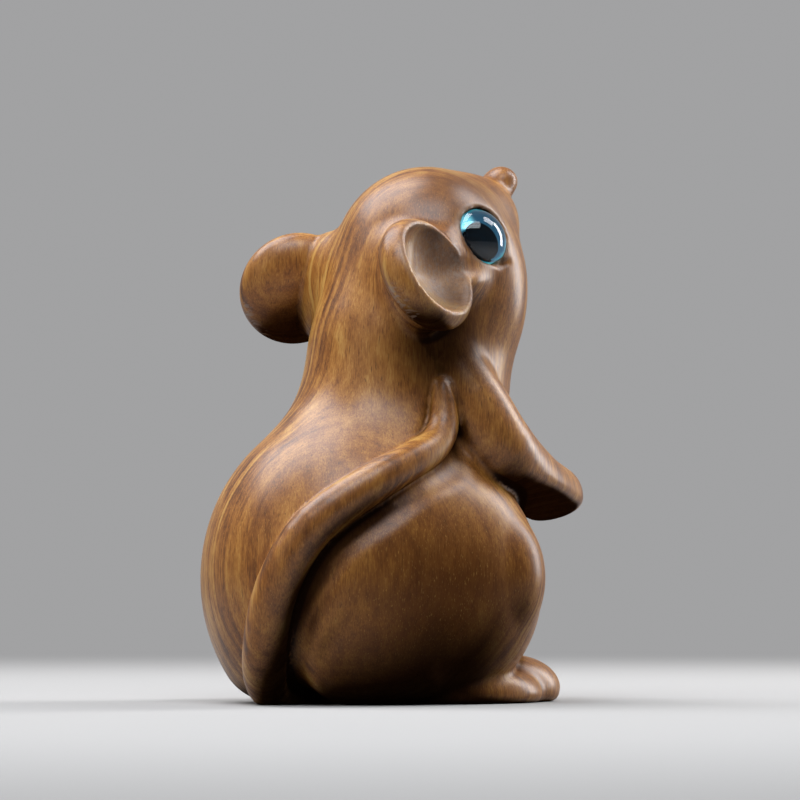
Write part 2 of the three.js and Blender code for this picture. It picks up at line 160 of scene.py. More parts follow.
@dataclass(frozen=True)
class Form:
    """A solid given by its distance field, in millimetres and negative inside.

    Args:
        distance: Takes points as an array of three rows and gives one distance a column.
    """

    distance: Callable[[Points], np.ndarray]

    @classmethod
    def ellipsoid(cls, centre: np.ndarray, radii: np.ndarray, axes: np.ndarray | None = None) -> "Form":
        """An ellipsoid.

        Args:
            centre: Its middle.
            radii: Its half sizes.
            axes: Its directions in rows, or None for X, Y and Z.

        Returns:
            The form.
        """
        middle = centre[:, None]
        half = radii[:, None]
        turn = np.eye(3) if axes is None else axes

        def distance(p: Points) -> np.ndarray:
            """The distance at each point."""
            local = turn @ (p - middle) / half
            reach = np.sqrt((local * local).sum(0))
            steep = np.sqrt(((local / half) ** 2).sum(0))
            return reach * (reach - 1) / np.maximum(steep, TINY)

        return cls(distance)

    @classmethod
    def cone(cls, start: np.ndarray, end: np.ndarray, start_radius: float, end_radius: float) -> "Form":
        """A limb with round ends whose radius changes evenly.

        Args:
            start: The middle of its first end.
            end: The middle of its last end.
            start_radius: The radius at the first end.
            end_radius: The radius at the last end.

        Returns:
            The form.
        """
        axis = end - start
        square = float(axis @ axis)

        def distance(p: Points) -> np.ndarray:
            """The distance at each point."""
            local = p - start[:, None]
            share = np.clip(axis @ local / square, 0, 1)
            local = local - axis[:, None] * share
            return np.sqrt((local * local).sum(0)) - (start_radius + (end_radius - start_radius) * share)

        return cls(distance)

    @classmethod
    def half_space(cls, point: np.ndarray, outwards: np.ndarray) -> "Form":
        """Everything behind a plane.

        Args:
            point: A point on the plane.
            outwards: The direction that leaves the form.

        Returns:
            The form.
        """
        normal = unit(outwards)
        offset = float(normal @ point)
        return cls(lambda p: normal @ p - offset)

    @classmethod
    def disc(cls, centre: np.ndarray, axis: np.ndarray, radius: float, depth: float) -> "Form":
        """A spun ellipsoid that is flat along its axis.

        Args:
            centre: Its middle.
            axis: Its axis, at length one.
            radius: Its radius across the axis.
            depth: Its half thickness along the axis.

        Returns:
            The form.
        """

        def distance(p: Points) -> np.ndarray:
            """The distance at each point."""
            along, across = along_across(p, centre, axis)
            reach = np.hypot(along / depth, across / radius)
            steep = np.hypot(along / depth**2, across / radius**2)
            return reach * (reach - 1) / np.maximum(steep, TINY)

        return cls(distance)

    @classmethod
    def drill(cls, floor: np.ndarray, axis: np.ndarray, radius: float) -> "Form":
        """A round hole that is open along its axis.

        Args:
            floor: The middle of the hole's floor.
            axis: The way out of the hole, at length one.
            radius: The hole's radius.

        Returns:
            The form.
        """

        def distance(p: Points) -> np.ndarray:
            """The distance at each point."""
            along, across = along_across(p, floor, axis)
            return np.maximum(across - radius, -along)

        return cls(distance)

    @classmethod
    def cord(cls, places: np.ndarray, radii: np.ndarray, margin: float) -> "Form":
        """A tube through a row of points, worked out only near it.

        Args:
            places: One point a row.
            radii: The radius at each point.
            margin: How far from the tube its distance is exact.

        Returns:
            The form.
        """
        pieces = [cls.cone(*places[i : i + 2], *radii[i : i + 2]) for i in range(len(places) - 1)]
        low = (places.min(0) - radii.max() - margin)[:, None]
        high = (places.max(0) + radii.max() + margin)[:, None]

        def distance(p: Points) -> np.ndarray:
            """The distance at each point."""
            near = ((p > low) & (p < high)).all(0)
            result = np.full(p.shape[1], margin)
            if near.any():
                inner = p[:, near]
                best = np.full(inner.shape[1], margin)
                for piece in pieces:
                    np.minimum(best, piece.distance(inner), out=best)
                result[near] = best
            return result

        return cls(distance)

    def join(self, other: "Form", fillet: float) -> "Form":
        """Both forms as one, with a fillet between them.

        Args:
            other: The form that is added.
            fillet: How far from their meeting line the fillet reaches.

        Returns:
            The joined form.
        """

        def distance(p: Points) -> np.ndarray:
            """The distance at each point."""
            a = self.distance(p)
            b = other.distance(p)
            overlap = np.maximum(fillet - np.abs(a - b), 0) / fillet
            return np.minimum(a, b) - overlap * overlap * fillet / 4

        return Form(distance)

    def carve(self, tool: "Form", fillet: float) -> "Form":
        """The form with a tool's shape taken out of it, and the edge of the cut rounded."""
        return self.inverse().join(tool, fillet).inverse()

    def keep_inside(self, bound: "Form", fillet: float) -> "Form":
        """The share of the form that lies inside another, with its new edge rounded."""
        return self.carve(bound.inverse(), fillet)

    def inverse(self) -> "Form":
        """The inside turned out."""
        return Form(lambda p: -self.distance(p))

    def mirrored(self) -> "Form":
        """The right-hand form with its mirror image on the left."""
        return Form(lambda p: self.distance(on_right(p)))

    def at(self, point: np.ndarray) -> float:
        """The distance at one point."""
        return float(self.distance(point[:, None])[0])

    def slope(self, p: Points, step: float = 0.05) -> Points:
        """The field's direction of growth at each point.

        Args:
            p: Points in three rows.
            step: How far the samples lie to both sides of a point.

        Returns:
            Unit vectors in three rows.
        """
        rows = []
        for axis in range(3):
            shift = np.zeros((3, 1))
            shift[axis] = step
            rows.append(self.distance(p + shift) - self.distance(p - shift))
        grown = np.stack(rows)
        return grown / np.maximum(np.linalg.norm(grown, axis=0), TINY)

    def surface_point(
        self,
        start: np.ndarray,
        direction: np.ndarray,
        rounds: int = 200,
        close: float = 1e-4,
        pace: float = 0.8,
    ) -> np.ndarray:
        """Where a ray that starts inside the form leaves it.

        Args:
            start: A point inside.
            direction: The way the ray goes.
            rounds: How many steps it has at most.
            close: How near the surface it stops.
            pace: The share of the gap that a step takes.

        Returns:
            The point on the surface.
        """
        way = unit(direction)
        point = start.copy()
        for _ in range(rounds):
            gap = self.at(point)
            if abs(gap) < close:
                break
            point = point - way * gap * pace
        return point


@dataclass(frozen=True)
class SurfaceNet:
    """Turns a form into a closed mesh: one vertex in each grid cell that the surface crosses.

    Args:
        cell: The grid's spacing in millimetres.
        stride: How many cells the first, rough look skips.
        near: How many strides from the surface the fine look reaches.
        batch: How many points are worked out at once.
        rounds: How often crossed sheets are looked for at most.
        fill_depth: The share of a cell that a filled corner lies under the surface.
    """

    cell: float
    stride: int = 6
    near: float = 1.7
    batch: int = 60000
    rounds: int = 20
    fill_depth: float = 0.05

    def spread(self, blocks: np.ndarray) -> np.ndarray:
        """Each block's value at all of its grid points."""
        return blocks.repeat(self.stride, 0).repeat(self.stride, 1).repeat(self.stride, 2)

    def sample(self, form: Form, low: np.ndarray, high: np.ndarray) -> np.ndarray:
        """The distance at each grid point, exact only near the surface.

        Args:
            form: What is sampled.
            low: The lowest corner of the grid.
            high: The highest corner that the grid has to reach.

        Returns:
            Distances on the grid.
        """
        step = self.cell * self.stride
        blocks = np.ceil((high - low) / step).astype(int)
        rulers = [low[a] + (np.arange(blocks[a]) + 0.5) * step for a in range(3)]
        middles = np.meshgrid(*rulers, indexing="ij")
        rough = form.distance(np.stack([m.ravel() for m in middles])).reshape(blocks)
        values = self.spread(rough)
        wanted = self.spread(np.abs(rough) < step * self.near)
        where = np.argwhere(wanted)
        fine = np.empty(len(where))
        for first in range(0, len(where), self.batch):
            share = where[first : first + self.batch]
            fine[first : first + self.batch] = form.distance((low + share * self.cell).T)
        values[wanted] = fine
        return values

    def close_sheets(self, values: np.ndarray) -> None:
        """Keeps sheets of the surface apart: fills a corner of each grid face that is crossed twice.

        Args:
            values: Distances on the grid, changed in place.
        """
        fill = -self.cell * self.fill_depth
        for _ in range(self.rounds):
            changed = 0
            for u, v in ((0, 1), (1, 2), (2, 0)):
                cut = [slice(None)] * 3
                corners = []
                for du, dv in ((0, 0), (1, 0), (1, 1), (0, 1)):
                    cut[u] = slice(1, None) if du else slice(None, -1)
                    cut[v] = slice(1, None) if dv else slice(None, -1)
                    corners.append(values[tuple(cut)])
                inside = [c < 0 for c in corners]
                twice = (inside[0] == inside[2]) & (inside[1] == inside[3]) & (inside[0] != inside[1])
                for first, second in ((0, 2), (1, 3)):
                    hollow = twice & ~inside[first]
                    nearer = corners[first] < corners[second]
                    corners[first][hollow & nearer] = fill
                    corners[second][hollow & ~nearer] = fill
                changed += int(twice.sum())
            if not changed:
                return

    @staticmethod
    def crossed_cells(inside: np.ndarray) -> np.ndarray:
        """The cells that the surface runs through.

        Args:
            inside: Whether each grid point lies inside.

        Returns:
            The lowest corner of each cell, one a row.
        """
        x_end, y_end, z_end = (size - 1 for size in inside.shape)
        count = np.zeros((x_end, y_end, z_end), int)
        for x, y, z in CUBE:
            count += inside[x : x_end + x, y : y_end + y, z : z_end + z]
        return np.argwhere((count > 0) & (count < len(CUBE)))

    @staticmethod
    def crossings(values: np.ndarray, cells: np.ndarray) -> np.ndarray:
        """The middle of the places where the surface cuts a cell's edges.

        Args:
            values: Distances on the grid.
            cells: The lowest corner of each crossed cell.

        Returns:
            One place a cell, as shares of the cell.
        """
        level = np.stack([values[tuple((cells + corner).T)] for corner in CUBE])
        total = np.zeros(cells.shape)
        hits = np.zeros(len(cells))
        edges = [(a, a | bit) for a in range(len(CUBE)) for bit in (1, 2, 4) if not a & bit]
        for a, b in edges:
            crossed = (level[a] < 0) != (level[b] < 0)
            share = level[a][crossed] / (level[a][crossed] - level[b][crossed])
            start = np.array(CUBE[a], float)
            total[crossed] += start + share[:, None] * (np.array(CUBE[b]) - start)
            hits[crossed] += 1
        return total / hits[:, None]

    @staticmethod
    def quads(inside: np.ndarray, cells: np.ndarray) -> np.ndarray:
        """One face round each grid edge that the surface cuts.

        Args:
            inside: Whether each grid point lies inside.
            cells: The lowest corner of each crossed cell.

        Returns:
            Cell numbers, four a row, that face outwards.
        """
        number = np.full(inside.shape, -1)
        number[tuple(cells.T)] = np.arange(len(cells))
        step = np.eye(3, dtype=int)
        rings = []
        for axis in range(3):
            cut = [slice(1, -1)] * 3
            here = inside[tuple(cut)]
            cut[axis] = slice(2, None)
            edge = np.argwhere(here != inside[tuple(cut)]) + 1
            u, v = step[(axis + 1) % 3], step[(axis + 2) % 3]
            ring = np.stack([number[tuple((edge - d).T)] for d in (u + v, v, 0 * u, u)], 1)
            outside = ~inside[tuple(edge.T)]
            ring[outside] = ring[outside][:, ::-1]
            rings.append(ring)
        return np.concatenate(rings)

    def mesh(self, form: Form, low: np.ndarray, high: np.ndarray) -> tuple[np.ndarray, np.ndarray]:
        """Builds the mesh.

        Args:
            form: What is meshed.
            low: The lowest corner of the grid.
            high: The highest corner that the grid has to reach.

        Returns:
            Vertices in rows, and quads of vertex numbers that face outwards.
        """
        values = self.sample(form, low, high)
        self.close_sheets(values)
        inside = values < 0
        cells = self.crossed_cells(inside)
        vertices = low + (cells + self.crossings(values, cells)) * self.cell
        return vertices, self.quads(inside, cells)


def smooth_curve(stations: np.ndarray, steps: int) -> tuple[np.ndarray, np.ndarray]:
    """A centripetal spline through a row of points.

    Args:
        stations: The points, one a row.
        steps: How many steps the curve is cut into.

    Returns:
        Points on the curve, and the place of each among the stations.
    """
    before = 2 * stations[0] - stations[1]
    after = 2 * stations[-1] - stations[-2]
    row = np.vstack([before, stations, after])
    places = np.linspace(0, len(stations) - 1, steps + 1)
    points = []
    for place in places:
        first = min(int(place), len(stations) - 2)
        w = place - first
        p0, p1, p2, p3 = row[first : first + 4]
        d0, d1, d2 = (math.sqrt(np.linalg.norm(b - a)) for a, b in ((p0, p1), (p1, p2), (p2, p3)))
        t1 = ((p1 - p0) / d0 - (p2 - p0) / (d0 + d1) + (p2 - p1) / d1) * d1
        t2 = ((p2 - p1) / d1 - (p3 - p1) / (d1 + d2) + (p3 - p2) / d2) * d1
        cubic = 2 * p1 - 2 * p2 + t1 + t2
        square = -3 * p1 + 3 * p2 - 2 * t1 - t2
        points.append(p1 + t1 * w + square * w**2 + cubic * w**3)
    return np.array(points), places


@dataclass(frozen=True)
class Lump:
    """The size of a rounded form, in millimetres."""

    width: float
    depth: float
    height: float

    def form(self, centre: np.ndarray) -> Form:
        """The ellipsoid of this size."""
        return Form.ellipsoid(centre, self.half)

    @property
    def half(self) -> np.ndarray:
        """Its half sizes."""
        return vec(self.width, self.depth, self.height) / 2


@dataclass(frozen=True)
class TailStation:
    """One place along the tail: its turn round the spine in degrees, and shares of the tail's sizes."""

    turn: float
    rise: float
    half_width: float
    tuck: float = 0.0


@dataclass(frozen=True)
class ArmStation:
    """One place along a foreleg, as shares of its spread, reach, drop and radius."""

    spread: float
    reach: float
    drop: float
    radius: float


@dataclass(frozen=True)
class OpenWay:
    """A way from which the wood is left unshaded: where the surface is turned or hidden from every such way,
    its colour gets painted shade.

    Args:
        toward: The way.
        level: How open a surface is that lies along the way.
        steepness: How fast it opens as it turns that way.
    """

    toward: Triple
    level: float
    steepness: float


@dataclass
class Carving:
    """The wooden body's sizes in millimetres, and its forms."""

    # Trunk, head and face
    hips: Lump = Lump(43, 47, 49.2)
    hips_back: float = 5.2
    hips_rise: float = 17.2
    neck: Lump = Lump(27, 29.8, 40)
    neck_fore: float = 7.5
    neck_lift: float = 4.2
    head: Lump = Lump(26.4, 26.8, 28.2)
    head_fore: float = 3.2
    head_sink: float = 4.6
    snout: Lump = Lump(13, 12.4, 11.6)
    snout_fore: float = 8.1
    snout_rise: float = 7.2
    cheek: Lump = Lump(14, 13, 19)
    cheek_offset: Triple = (-5, -5, -5)
    trunk_fillet: float = 9
    face_fillet: float = 4

    # Nose
    nose: Lump = Lump(5.2, 4.6, 4.4)
    nose_toward: Triple = (0, -6, 6.5)
    nose_stand: float = 1.6
    nose_fillet: float = 2.6

    # Thighs, knees and feet
    thigh: Lump = Lump(23, 26.8, 32)
    thigh_proud: float = 1
    thigh_fore: float = 6.7
    thigh_drop: float = 0.7
    thigh_fillet: float = 2
    knee: Lump = Lump(16, 14, 20)
    knee_offset: Triple = (-3.9, -4.2, 0.8)
    knee_fillet: float = 0.6
    foot: Lump = Lump(11.6, 15.8, 9.4)
    foot_inwards: float = 2
    foot_tuck: float = 1.7
    foot_rise: float = 1.9
    foot_fillet: float = 1.0
    heel: Lump = Lump(11, 20, 8)
    heel_offset: Triple = (-3.8, 8, -0.7)

    # Forelegs, whose distance is worked out only within the margin
    arm_spread: float = 10
    arm_reach: float = 20.1
    arm_drop: float = 17.1
    arm_radius: float = 5
    arm_fillet: float = 0.9
    arm_steps: int = 18
    arm_stations: Sequence[ArmStation] = (
        ArmStation(0.86, -0.02, -0.1, 1),
        ArmStation(1.2, 0.11, 0.3, 1.06),
        ArmStation(1.36, 0.267, 0.64, 1.08),
        ArmStation(1.12, 0.635, 0.9, 1),
        ArmStation(0.74, 0.98, 1, 0.92),
    )
    palm_faces: Triple = (-0.38, 0, -0.925)
    palm_drop: float = 2.4
    palm_fillet: float = 1.0
    arm_margin: float = 9.0

    # Ears, the cut and the nicks behind them, and the fold at the front corner of each eye
    ear_offset: Triple = (-15.6, 11.6, -2.7)
    ear_opens: Triple = (-0.863, -0.292, 0.412)
    ear_radius: float = 8.3
    ear_half_depth: float = 4.5
    ear_trim: float = 2.4
    root: Lump = Lump(27, 8.6, 16.4)
    root_offset: Triple = (8, -2.2, -0.2)
    root_fillet: float = 1.2
    root_lip_fillet: float = 1.0
    temple: Lump = Lump(15, 15, 13)
    temple_offset: Triple = (7.6, -7.4, 1.6)
    scoop_lift: float = 3.2
    scoop_radius: float = 6.8
    scoop_depth: float = 4.4
    scoop_blend: float = 0.5
    channel: Lump = Lump(18, 6, 4.8)
    channel_fore: float = 4.5
    channel_rise: float = 0.6
    channel_lift: float = 3.2
    channel_lean: float = 21
    channel_fillet: float = 1.2
    cheek_fillet: float = 1.2
    lip_fillet: float = 0.4
    crease_reach: float = 8.6
    crease_lift: float = -1.5
    crease_radius: float = 1.1
    crease_turn: tuple[float, float] = (75, 250)
    crease_steps: int = 24
    crease_fillet: float = 0.8
    nick_turns: Sequence[float] = (200, 206, 212, 218, 224, 230)
    nick_reach: float = 1.2
    nick_core: float = 1.6
    corner_stations: Sequence[tuple[float, float]] = ((0.6, -4.2), (2.2, -4.4), (4.0, -4.1))
    corner_radii: Sequence[float] = (0.45, 0.7, 0.2)
    corner_fillet: float = 0.6

    # Tail, the crease beside some steps of its tip, and the groove along it
    tail_rise: float = 44.2
    tail_half_width: float = 3.3
    tail_tuck: float = 3
    tail_fillet: float = 0.4
    tail_steps: int = 44
    tail_stations: Sequence[TailStation] = (
        TailStation(4, 0.01, 0.91, 1),
        TailStation(7.5, 0.06, 0.97, 0.4),
        TailStation(15.8, 0.17, 0.97),
        TailStation(24, 0.362, 0.94),
        TailStation(32.5, 0.536, 0.91),
        TailStation(49, 0.674, 0.85),
        TailStation(62, 0.742, 0.76),
        TailStation(75, 0.8, 0.7, 0.07),
        TailStation(80, 0.86, 0.68, 0.06),
        TailStation(79, 0.92, 0.59, 0.02),
        TailStation(77, 0.96, 0.5),
        TailStation(75.5, 0.985, 0.42, 0.05),
        TailStation(74.5, 1.005, 0.28, 0.32),
    )
    tip_from: int = 25
    tip_to: int = 41
    tip_radius: float = 0.75
    tip_lift: float = 0.48
    tip_fillet: float = 0.8
    tip_start: float = 0.05
    tip_share: float = 0.9
    groove_radius: float = 3.2
    groove_side: float = 1.2
    groove_lift: float = 1.7
    groove_fillet: float = 2.0
    groove_least: float = 0.3
    cord_margin: float = 6.0

    # Base
    base_fillet: float = 4.2
    foot_base_fillet: float = 1.5
    base_sink: float = 0.4
    ground_fillet: float = 0.3

    # Eye sockets
    eye_toward: Triple = (-11.5, -1, 3.5)
    eye_faces: Triple = (-0.92, -0.13, 0.37)
    socket_radius: float = 4.12
    socket_depth: float = 3.4
    socket_fillet: float = 0.25

    # How open, hollow and proud the surface is
    # open_ways and open_reaches set the painted shade where the surface is turned or hidden from the sky and
    # the front
    open_ways: Sequence[OpenWay] = (
        OpenWay((0.18, 0.24, 0.95), 1.0, 1.3),
        OpenWay((-0.17, -0.915, 0.35), 0.25, 1.8),
    )
    open_reaches: Sequence[float] = (1.5, 2.5, 4.0, 6.0, 9.0, 13.0)
    open_lift: float = 0.4
    open_level: float = 0.8
    open_gain: float = 1.8
    # cavity_reaches set the painted shade in creases
    cavity_reaches: Sequence[tuple[float, float]] = ((0.8, 0.4), (2.0, 0.35), (4.5, 0.25))
    # edge_reach sets the lighter proud edges, partly a painted highlight
    edge_reach: float = 1.2

    # The grid, and how far a vertex may move to settle on the surface
    cell: float = 0.45
    quick_cell: float = 0.9
    margin_cells: int = 4
    settle: float = 0.15

    def __post_init__(self) -> None:
        """Places the forms and joins them."""
        self.hips_centre = vec(0, self.hips_back, self.hips_rise)
        self.neck_centre = self.hips_centre + vec(0, -self.neck_fore, self.hips.height / 2 + self.neck_lift)
        self.head_centre = self.neck_centre + vec(0, -self.head_fore, self.neck.height / 2 - self.head_sink)
        self.snout_centre = self.head_centre + vec(0, -self.snout_fore, self.snout_rise)
        side = self.hips.width / 2 + self.thigh_proud - self.thigh.width / 2
        self.thigh_centre = self.hips_centre + vec(-side, -self.thigh_fore, -self.thigh_drop)
        self.base = Form.half_space(vec(0, 0, -self.base_sink), vec(0, 0, -1))
        self.trunk = self.make_trunk()
        self.seat = self.make_seat()
        self.tail_places, self.tail_radii = self.make_tail_line()
        self.ear_axis, self.ear_up, self.ear_fore = facing(self.ear_opens)
        self.ear_centre = self.head_centre + vec(*self.ear_offset)
        self.blank = self.make_blank()
        self.eye_axis, self.eye_up, self.eye_fore = facing(self.eye_faces)
        self.eye_seat = self.blank.surface_point(self.head_centre, vec(*self.eye_toward))
        self.whole = self.make_whole()

    def make_trunk(self) -> Form:
        """Hips, neck, head, snout and cheeks.

        Returns:
            One form.
        """
        cheek_centre = self.head_centre + vec(*self.cheek_offset)
        trunk = self.hips.form(self.hips_centre).join(self.neck.form(self.neck_centre), self.trunk_fillet)
        trunk = trunk.join(self.head.form(self.head_centre), self.face_fillet)
        trunk = trunk.join(self.snout.form(self.snout_centre), self.face_fillet)
        return trunk.join(self.cheek.form(cheek_centre).mirrored(), self.face_fillet)

    def make_seat(self) -> Form:
        """The trunk with its thighs and knees, rounded towards the base.

        Returns:
            The form.
        """
        haunches = self.trunk.join(self.thigh.form(self.thigh_centre).mirrored(), self.thigh_fillet)
        knee = self.knee.form(self.thigh_centre + vec(*self.knee_offset))
        haunches = haunches.join(knee.mirrored(), self.knee_fillet)
        return haunches.keep_inside(self.base, self.base_fillet)

    def make_foot(self) -> Form:
        """The right foot with its heel, rounded towards the base.

        Returns:
            The form.
        """
        centre = self.thigh_centre + vec(self.foot_inwards, self.foot_tuck - self.thigh.depth / 2, 0)
        centre[2] = self.foot_rise
        heel = self.heel.form(centre + vec(*self.heel_offset))
        foot = self.foot.form(centre).join(heel, self.foot_fillet)
        return foot.keep_inside(self.base, self.foot_base_fillet)

    def make_foreleg(self) -> Form:
        """The right foreleg, with its palm cut flat.

        Returns:
            The form.
        """
        rows = [vec(s.spread, s.reach, s.drop) for s in self.arm_stations]
        sizes = vec(self.arm_spread, self.arm_reach, self.arm_drop)
        points, places = smooth_curve(self.neck_centre - np.array(rows) * sizes, self.arm_steps)
        radii = np.interp(places, np.arange(len(rows)), [s.radius for s in self.arm_stations])
        tube = Form.cord(points, radii * self.arm_radius, self.arm_margin)
        faces = unit(vec(*self.palm_faces))
        palm = Form.half_space(points[-1] + faces * self.palm_drop, faces)
        return tube.keep_inside(palm, self.palm_fillet)

    def make_nose(self) -> Form:
        """The button on the snout.

        Returns:
            The form.
        """
        toward = vec(*self.nose_toward)
        seat = self.trunk.surface_point(self.snout_centre, toward)
        return self.nose.form(seat + unit(toward) * self.nose_stand)

    def make_tail_line(self) -> tuple[np.ndarray, np.ndarray]:
        """The tail's middle line on the haunch.

        Returns:
            Points in rows, and the half width at each.
        """
        rows = []
        rise = self.neck_centre[2] - self.hips_centre[2]
        for s in self.tail_stations:
            height = self.tail_rise * s.rise
            turn = math.radians(s.turn)
            direction = vec(-math.sin(turn), math.cos(turn), 0)
            share = min(max((height - self.hips_centre[2]) / rise, 0), 1)
            start = self.hips_centre + (self.neck_centre - self.hips_centre) * share
            start[2] = height
            rows.append(self.seat.surface_point(start, direction) - direction * self.tail_tuck * s.tuck)
        points, places = smooth_curve(np.array(rows), self.tail_steps)
        widths = np.interp(places, np.arange(len(rows)), [s.half_width for s in self.tail_stations])
        return points, widths * self.tail_half_width

    def tail_ways(self) -> tuple[np.ndarray, np.ndarray]:
        """The ways towards the haunch and out of the surface along the tail.

        Returns:
            Two arrays of unit vectors, one a row.
        """
        along = np.gradient(self.tail_places, axis=0)
        along /= np.linalg.norm(along, axis=1)[:, None]
        out = self.seat.slope(self.tail_places.T).T
        side = np.cross(along, out)
        side /= np.linalg.norm(side, axis=1)[:, None]
        return side, out

    def tail_groove(self) -> Form:
        """The cut along the haunch side of the tail.

        Returns:
            The form of the tool.
        """
        side, out = self.tail_ways()
        aside = (self.tail_radii + self.groove_side)[:, None]
        line = self.tail_places + side * aside + out * self.groove_lift
        shares = np.clip(self.tail_radii / self.tail_half_width, self.groove_least, 1)
        return Form.cord(line, self.groove_radius * shares, self.cord_margin)

    def tip_crease(self) -> Form:
        """The narrow cut that sets the back edge of the tail's tip off from the shoulder.

        Returns:
            The form of the tool.
        """
        side, out = self.tail_ways()
        line = self.tail_places - side * self.tail_radii[:, None] + out * self.tip_lift
        line = line[self.tip_from : self.tip_to]
        share = np.linspace(0, 1, len(line))
        swell = np.sqrt(np.sin(math.pi * (self.tip_start + self.tip_share * share)))
        return Form.cord(line, self.tip_radius * swell, self.cord_margin)

    def in_ear(self, lift: float) -> np.ndarray:
        """A point on the right ear's axis, at a height over the ear's middle."""
        return self.ear_centre + self.ear_axis * lift

    def ear_mouth(self) -> Form:
        """Everything behind the plane of the right ear's lip."""
        return Form.half_space(self.in_ear(self.ear_trim), self.ear_axis)

    def ear_root(self) -> Form:
        """The right ear's tall root, which blends into the head.

        Returns:
            The form.
        """
        root = self.root.form(self.ear_centre + vec(*self.root_offset))
        temple = self.temple.form(self.ear_centre + vec(*self.temple_offset))
        return root.join(temple, self.root_fillet).keep_inside(self.ear_mouth(), self.root_lip_fillet)

    def ear_shell(self) -> Form:
        """The right ear's cup with its thin lip."""
        disc = Form.disc(self.ear_centre, self.ear_axis, self.ear_radius, self.ear_half_depth)
        return disc.keep_inside(self.ear_mouth(), self.lip_fillet).carve(self.ear_scoop(), self.lip_fillet)

    def ear_scoop(self) -> Form:
        """What is hollowed out of the right ear: a bowl, and a channel that runs out on the cheek.

        Returns:
            The form of the tool.
        """
        bowl = Form.disc(self.in_ear(self.scoop_lift), self.ear_axis, self.scoop_radius, self.scoop_depth)
        middle = self.in_ear(self.channel_lift)
        middle = middle + self.ear_fore * self.channel_fore + self.ear_up * self.channel_rise
        lean = math.radians(self.channel_lean)
        along = self.ear_fore * math.cos(lean) + self.ear_axis * math.sin(lean)
        axes = np.stack([along, np.cross(self.ear_up, along), self.ear_up])
        channel = Form.ellipsoid(middle, self.channel.half, axes)
        return bowl.join(channel, self.channel_fillet)

    def round_ear(self, turns: np.ndarray) -> np.ndarray:
        """Points on the line behind the right ear.

        Args:
            turns: Their turns in degrees, from the front over the top.

        Returns:
            One point a row.
        """
        turn = np.radians(turns)
        spokes = np.outer(np.cos(turn), self.ear_fore) + np.outer(np.sin(turn), self.ear_up)
        return self.in_ear(self.crease_lift) + spokes * self.crease_reach

    def ear_crease(self) -> Form:
        """The cut behind the right ear, which sets its back off from the neck.

        Returns:
            The form of the tool.
        """
        share = np.linspace(0, 1, self.crease_steps + 1)
        turns = self.crease_turn[0] + (self.crease_turn[1] - self.crease_turn[0]) * share
        radii = self.crease_radius * np.sqrt(np.sin(share * math.pi))
        return Form.cord(self.round_ear(turns), radii, self.cord_margin)

    def on_eye(self, fore: float, rise: float, lift: float = 0.0) -> np.ndarray:
        """A point on the right eye's plane, so far forwards, above its middle and out of the plane."""
        return self.eye_seat + self.eye_fore * fore + self.eye_up * rise + self.eye_axis * lift

    def eye_corner(self) -> Form:
        """The short fold at the front corner of the right eye.

        Returns:
            The form of the tool.
        """
        spots = [self.on_eye(*station) - self.head_centre for station in self.corner_stations]
        places = [self.trunk.surface_point(self.head_centre, spot) for spot in spots]
        return Form.cord(np.array(places), np.array(self.corner_radii), self.cord_margin)

    def make_blank(self) -> Form:
        """The carving before its ears are cupped and its eyes are set.

        Returns:
            The form.
        """
        body = self.seat.join(self.make_foot().mirrored(), self.foot_fillet)
        body = body.carve(self.tail_groove(), self.groove_fillet)
        body = body.carve(self.tip_crease(), self.tip_fillet)
        tail = Form.cord(self.tail_places, self.tail_radii, self.cord_margin)
        body = body.join(tail, self.tail_fillet)
        body = body.join(self.make_foreleg().mirrored(), self.arm_fillet)
        body = body.join(self.make_nose(), self.nose_fillet)
        return body.join(self.ear_root().mirrored(), self.root_fillet)

    def make_whole(self) -> Form:
        """The finished carving, with its ears, its sockets and its flat base.

        Returns:
            The form.
        """
        body = self.blank.carve(self.ear_crease().mirrored(), self.crease_fillet)
        body = body.carve(self.ear_scoop().mirrored(), self.cheek_fillet)
        body = body.join(self.ear_shell().mirrored(), self.lip_fillet)
        body = body.carve(self.eye_corner().mirrored(), self.corner_fillet)
        floor = self.eye_seat - self.eye_axis * self.socket_depth
        socket = Form.drill(floor, self.eye_axis, self.socket_radius)
        body = body.carve(socket.mirrored(), self.socket_fillet)
        ground = Form.half_space(vec(0, 0, 0), vec(0, 0, -1))
        return body.keep_inside(ground, self.ground_fillet)

    def eye_frame(self, side: Side) -> Matrix:
        """The place of an eye: its axis along +Z, on the carved surface.

        Args:
            side: Which eye.

        Returns:
            A matrix in metres.
        """
        seat = Vector(self.eye_seat * side.flip * MM)
        turn = Vector((0, 0, 1)).rotation_difference(Vector(self.eye_axis * side.flip))
        return Matrix.Translation(seat) @ turn.to_matrix().to_4x4()

    def build(self, finish: bpy.types.Material) -> bpy.types.Object:
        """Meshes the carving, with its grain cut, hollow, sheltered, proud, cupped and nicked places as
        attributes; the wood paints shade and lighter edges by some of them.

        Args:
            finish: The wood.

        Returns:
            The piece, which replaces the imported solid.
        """
        net = SurfaceNet(self.cell)
        low, high = (np.array(c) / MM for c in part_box("carved_body"))
        margin = self.margin_cells * net.cell
        vertices, quads = net.mesh(self.whole, low - margin, high + margin)
        p = vertices.T
        out = self.whole.slope(p)
        p = p - out * np.clip(self.whole.distance(p), -self.settle, self.settle)
        mesh = bpy.data.meshes.new("carved_wood")
        mesh.from_pydata((p.T * MM).tolist(), [], quads.tolist())
        mesh.polygons.foreach_set("use_smooth", np.ones(len(quads), bool))
        for name, values in self.marks(p, out).items():
            layer = mesh.attributes.new(name, "FLOAT", "POINT")
            layer.data.foreach_set("value", values.astype(np.float32))
        mesh.materials.append(finish)
        mesh.update()
        piece = add_object("carved_wood", mesh)
        stand_for(piece, "carved_body")
        return piece

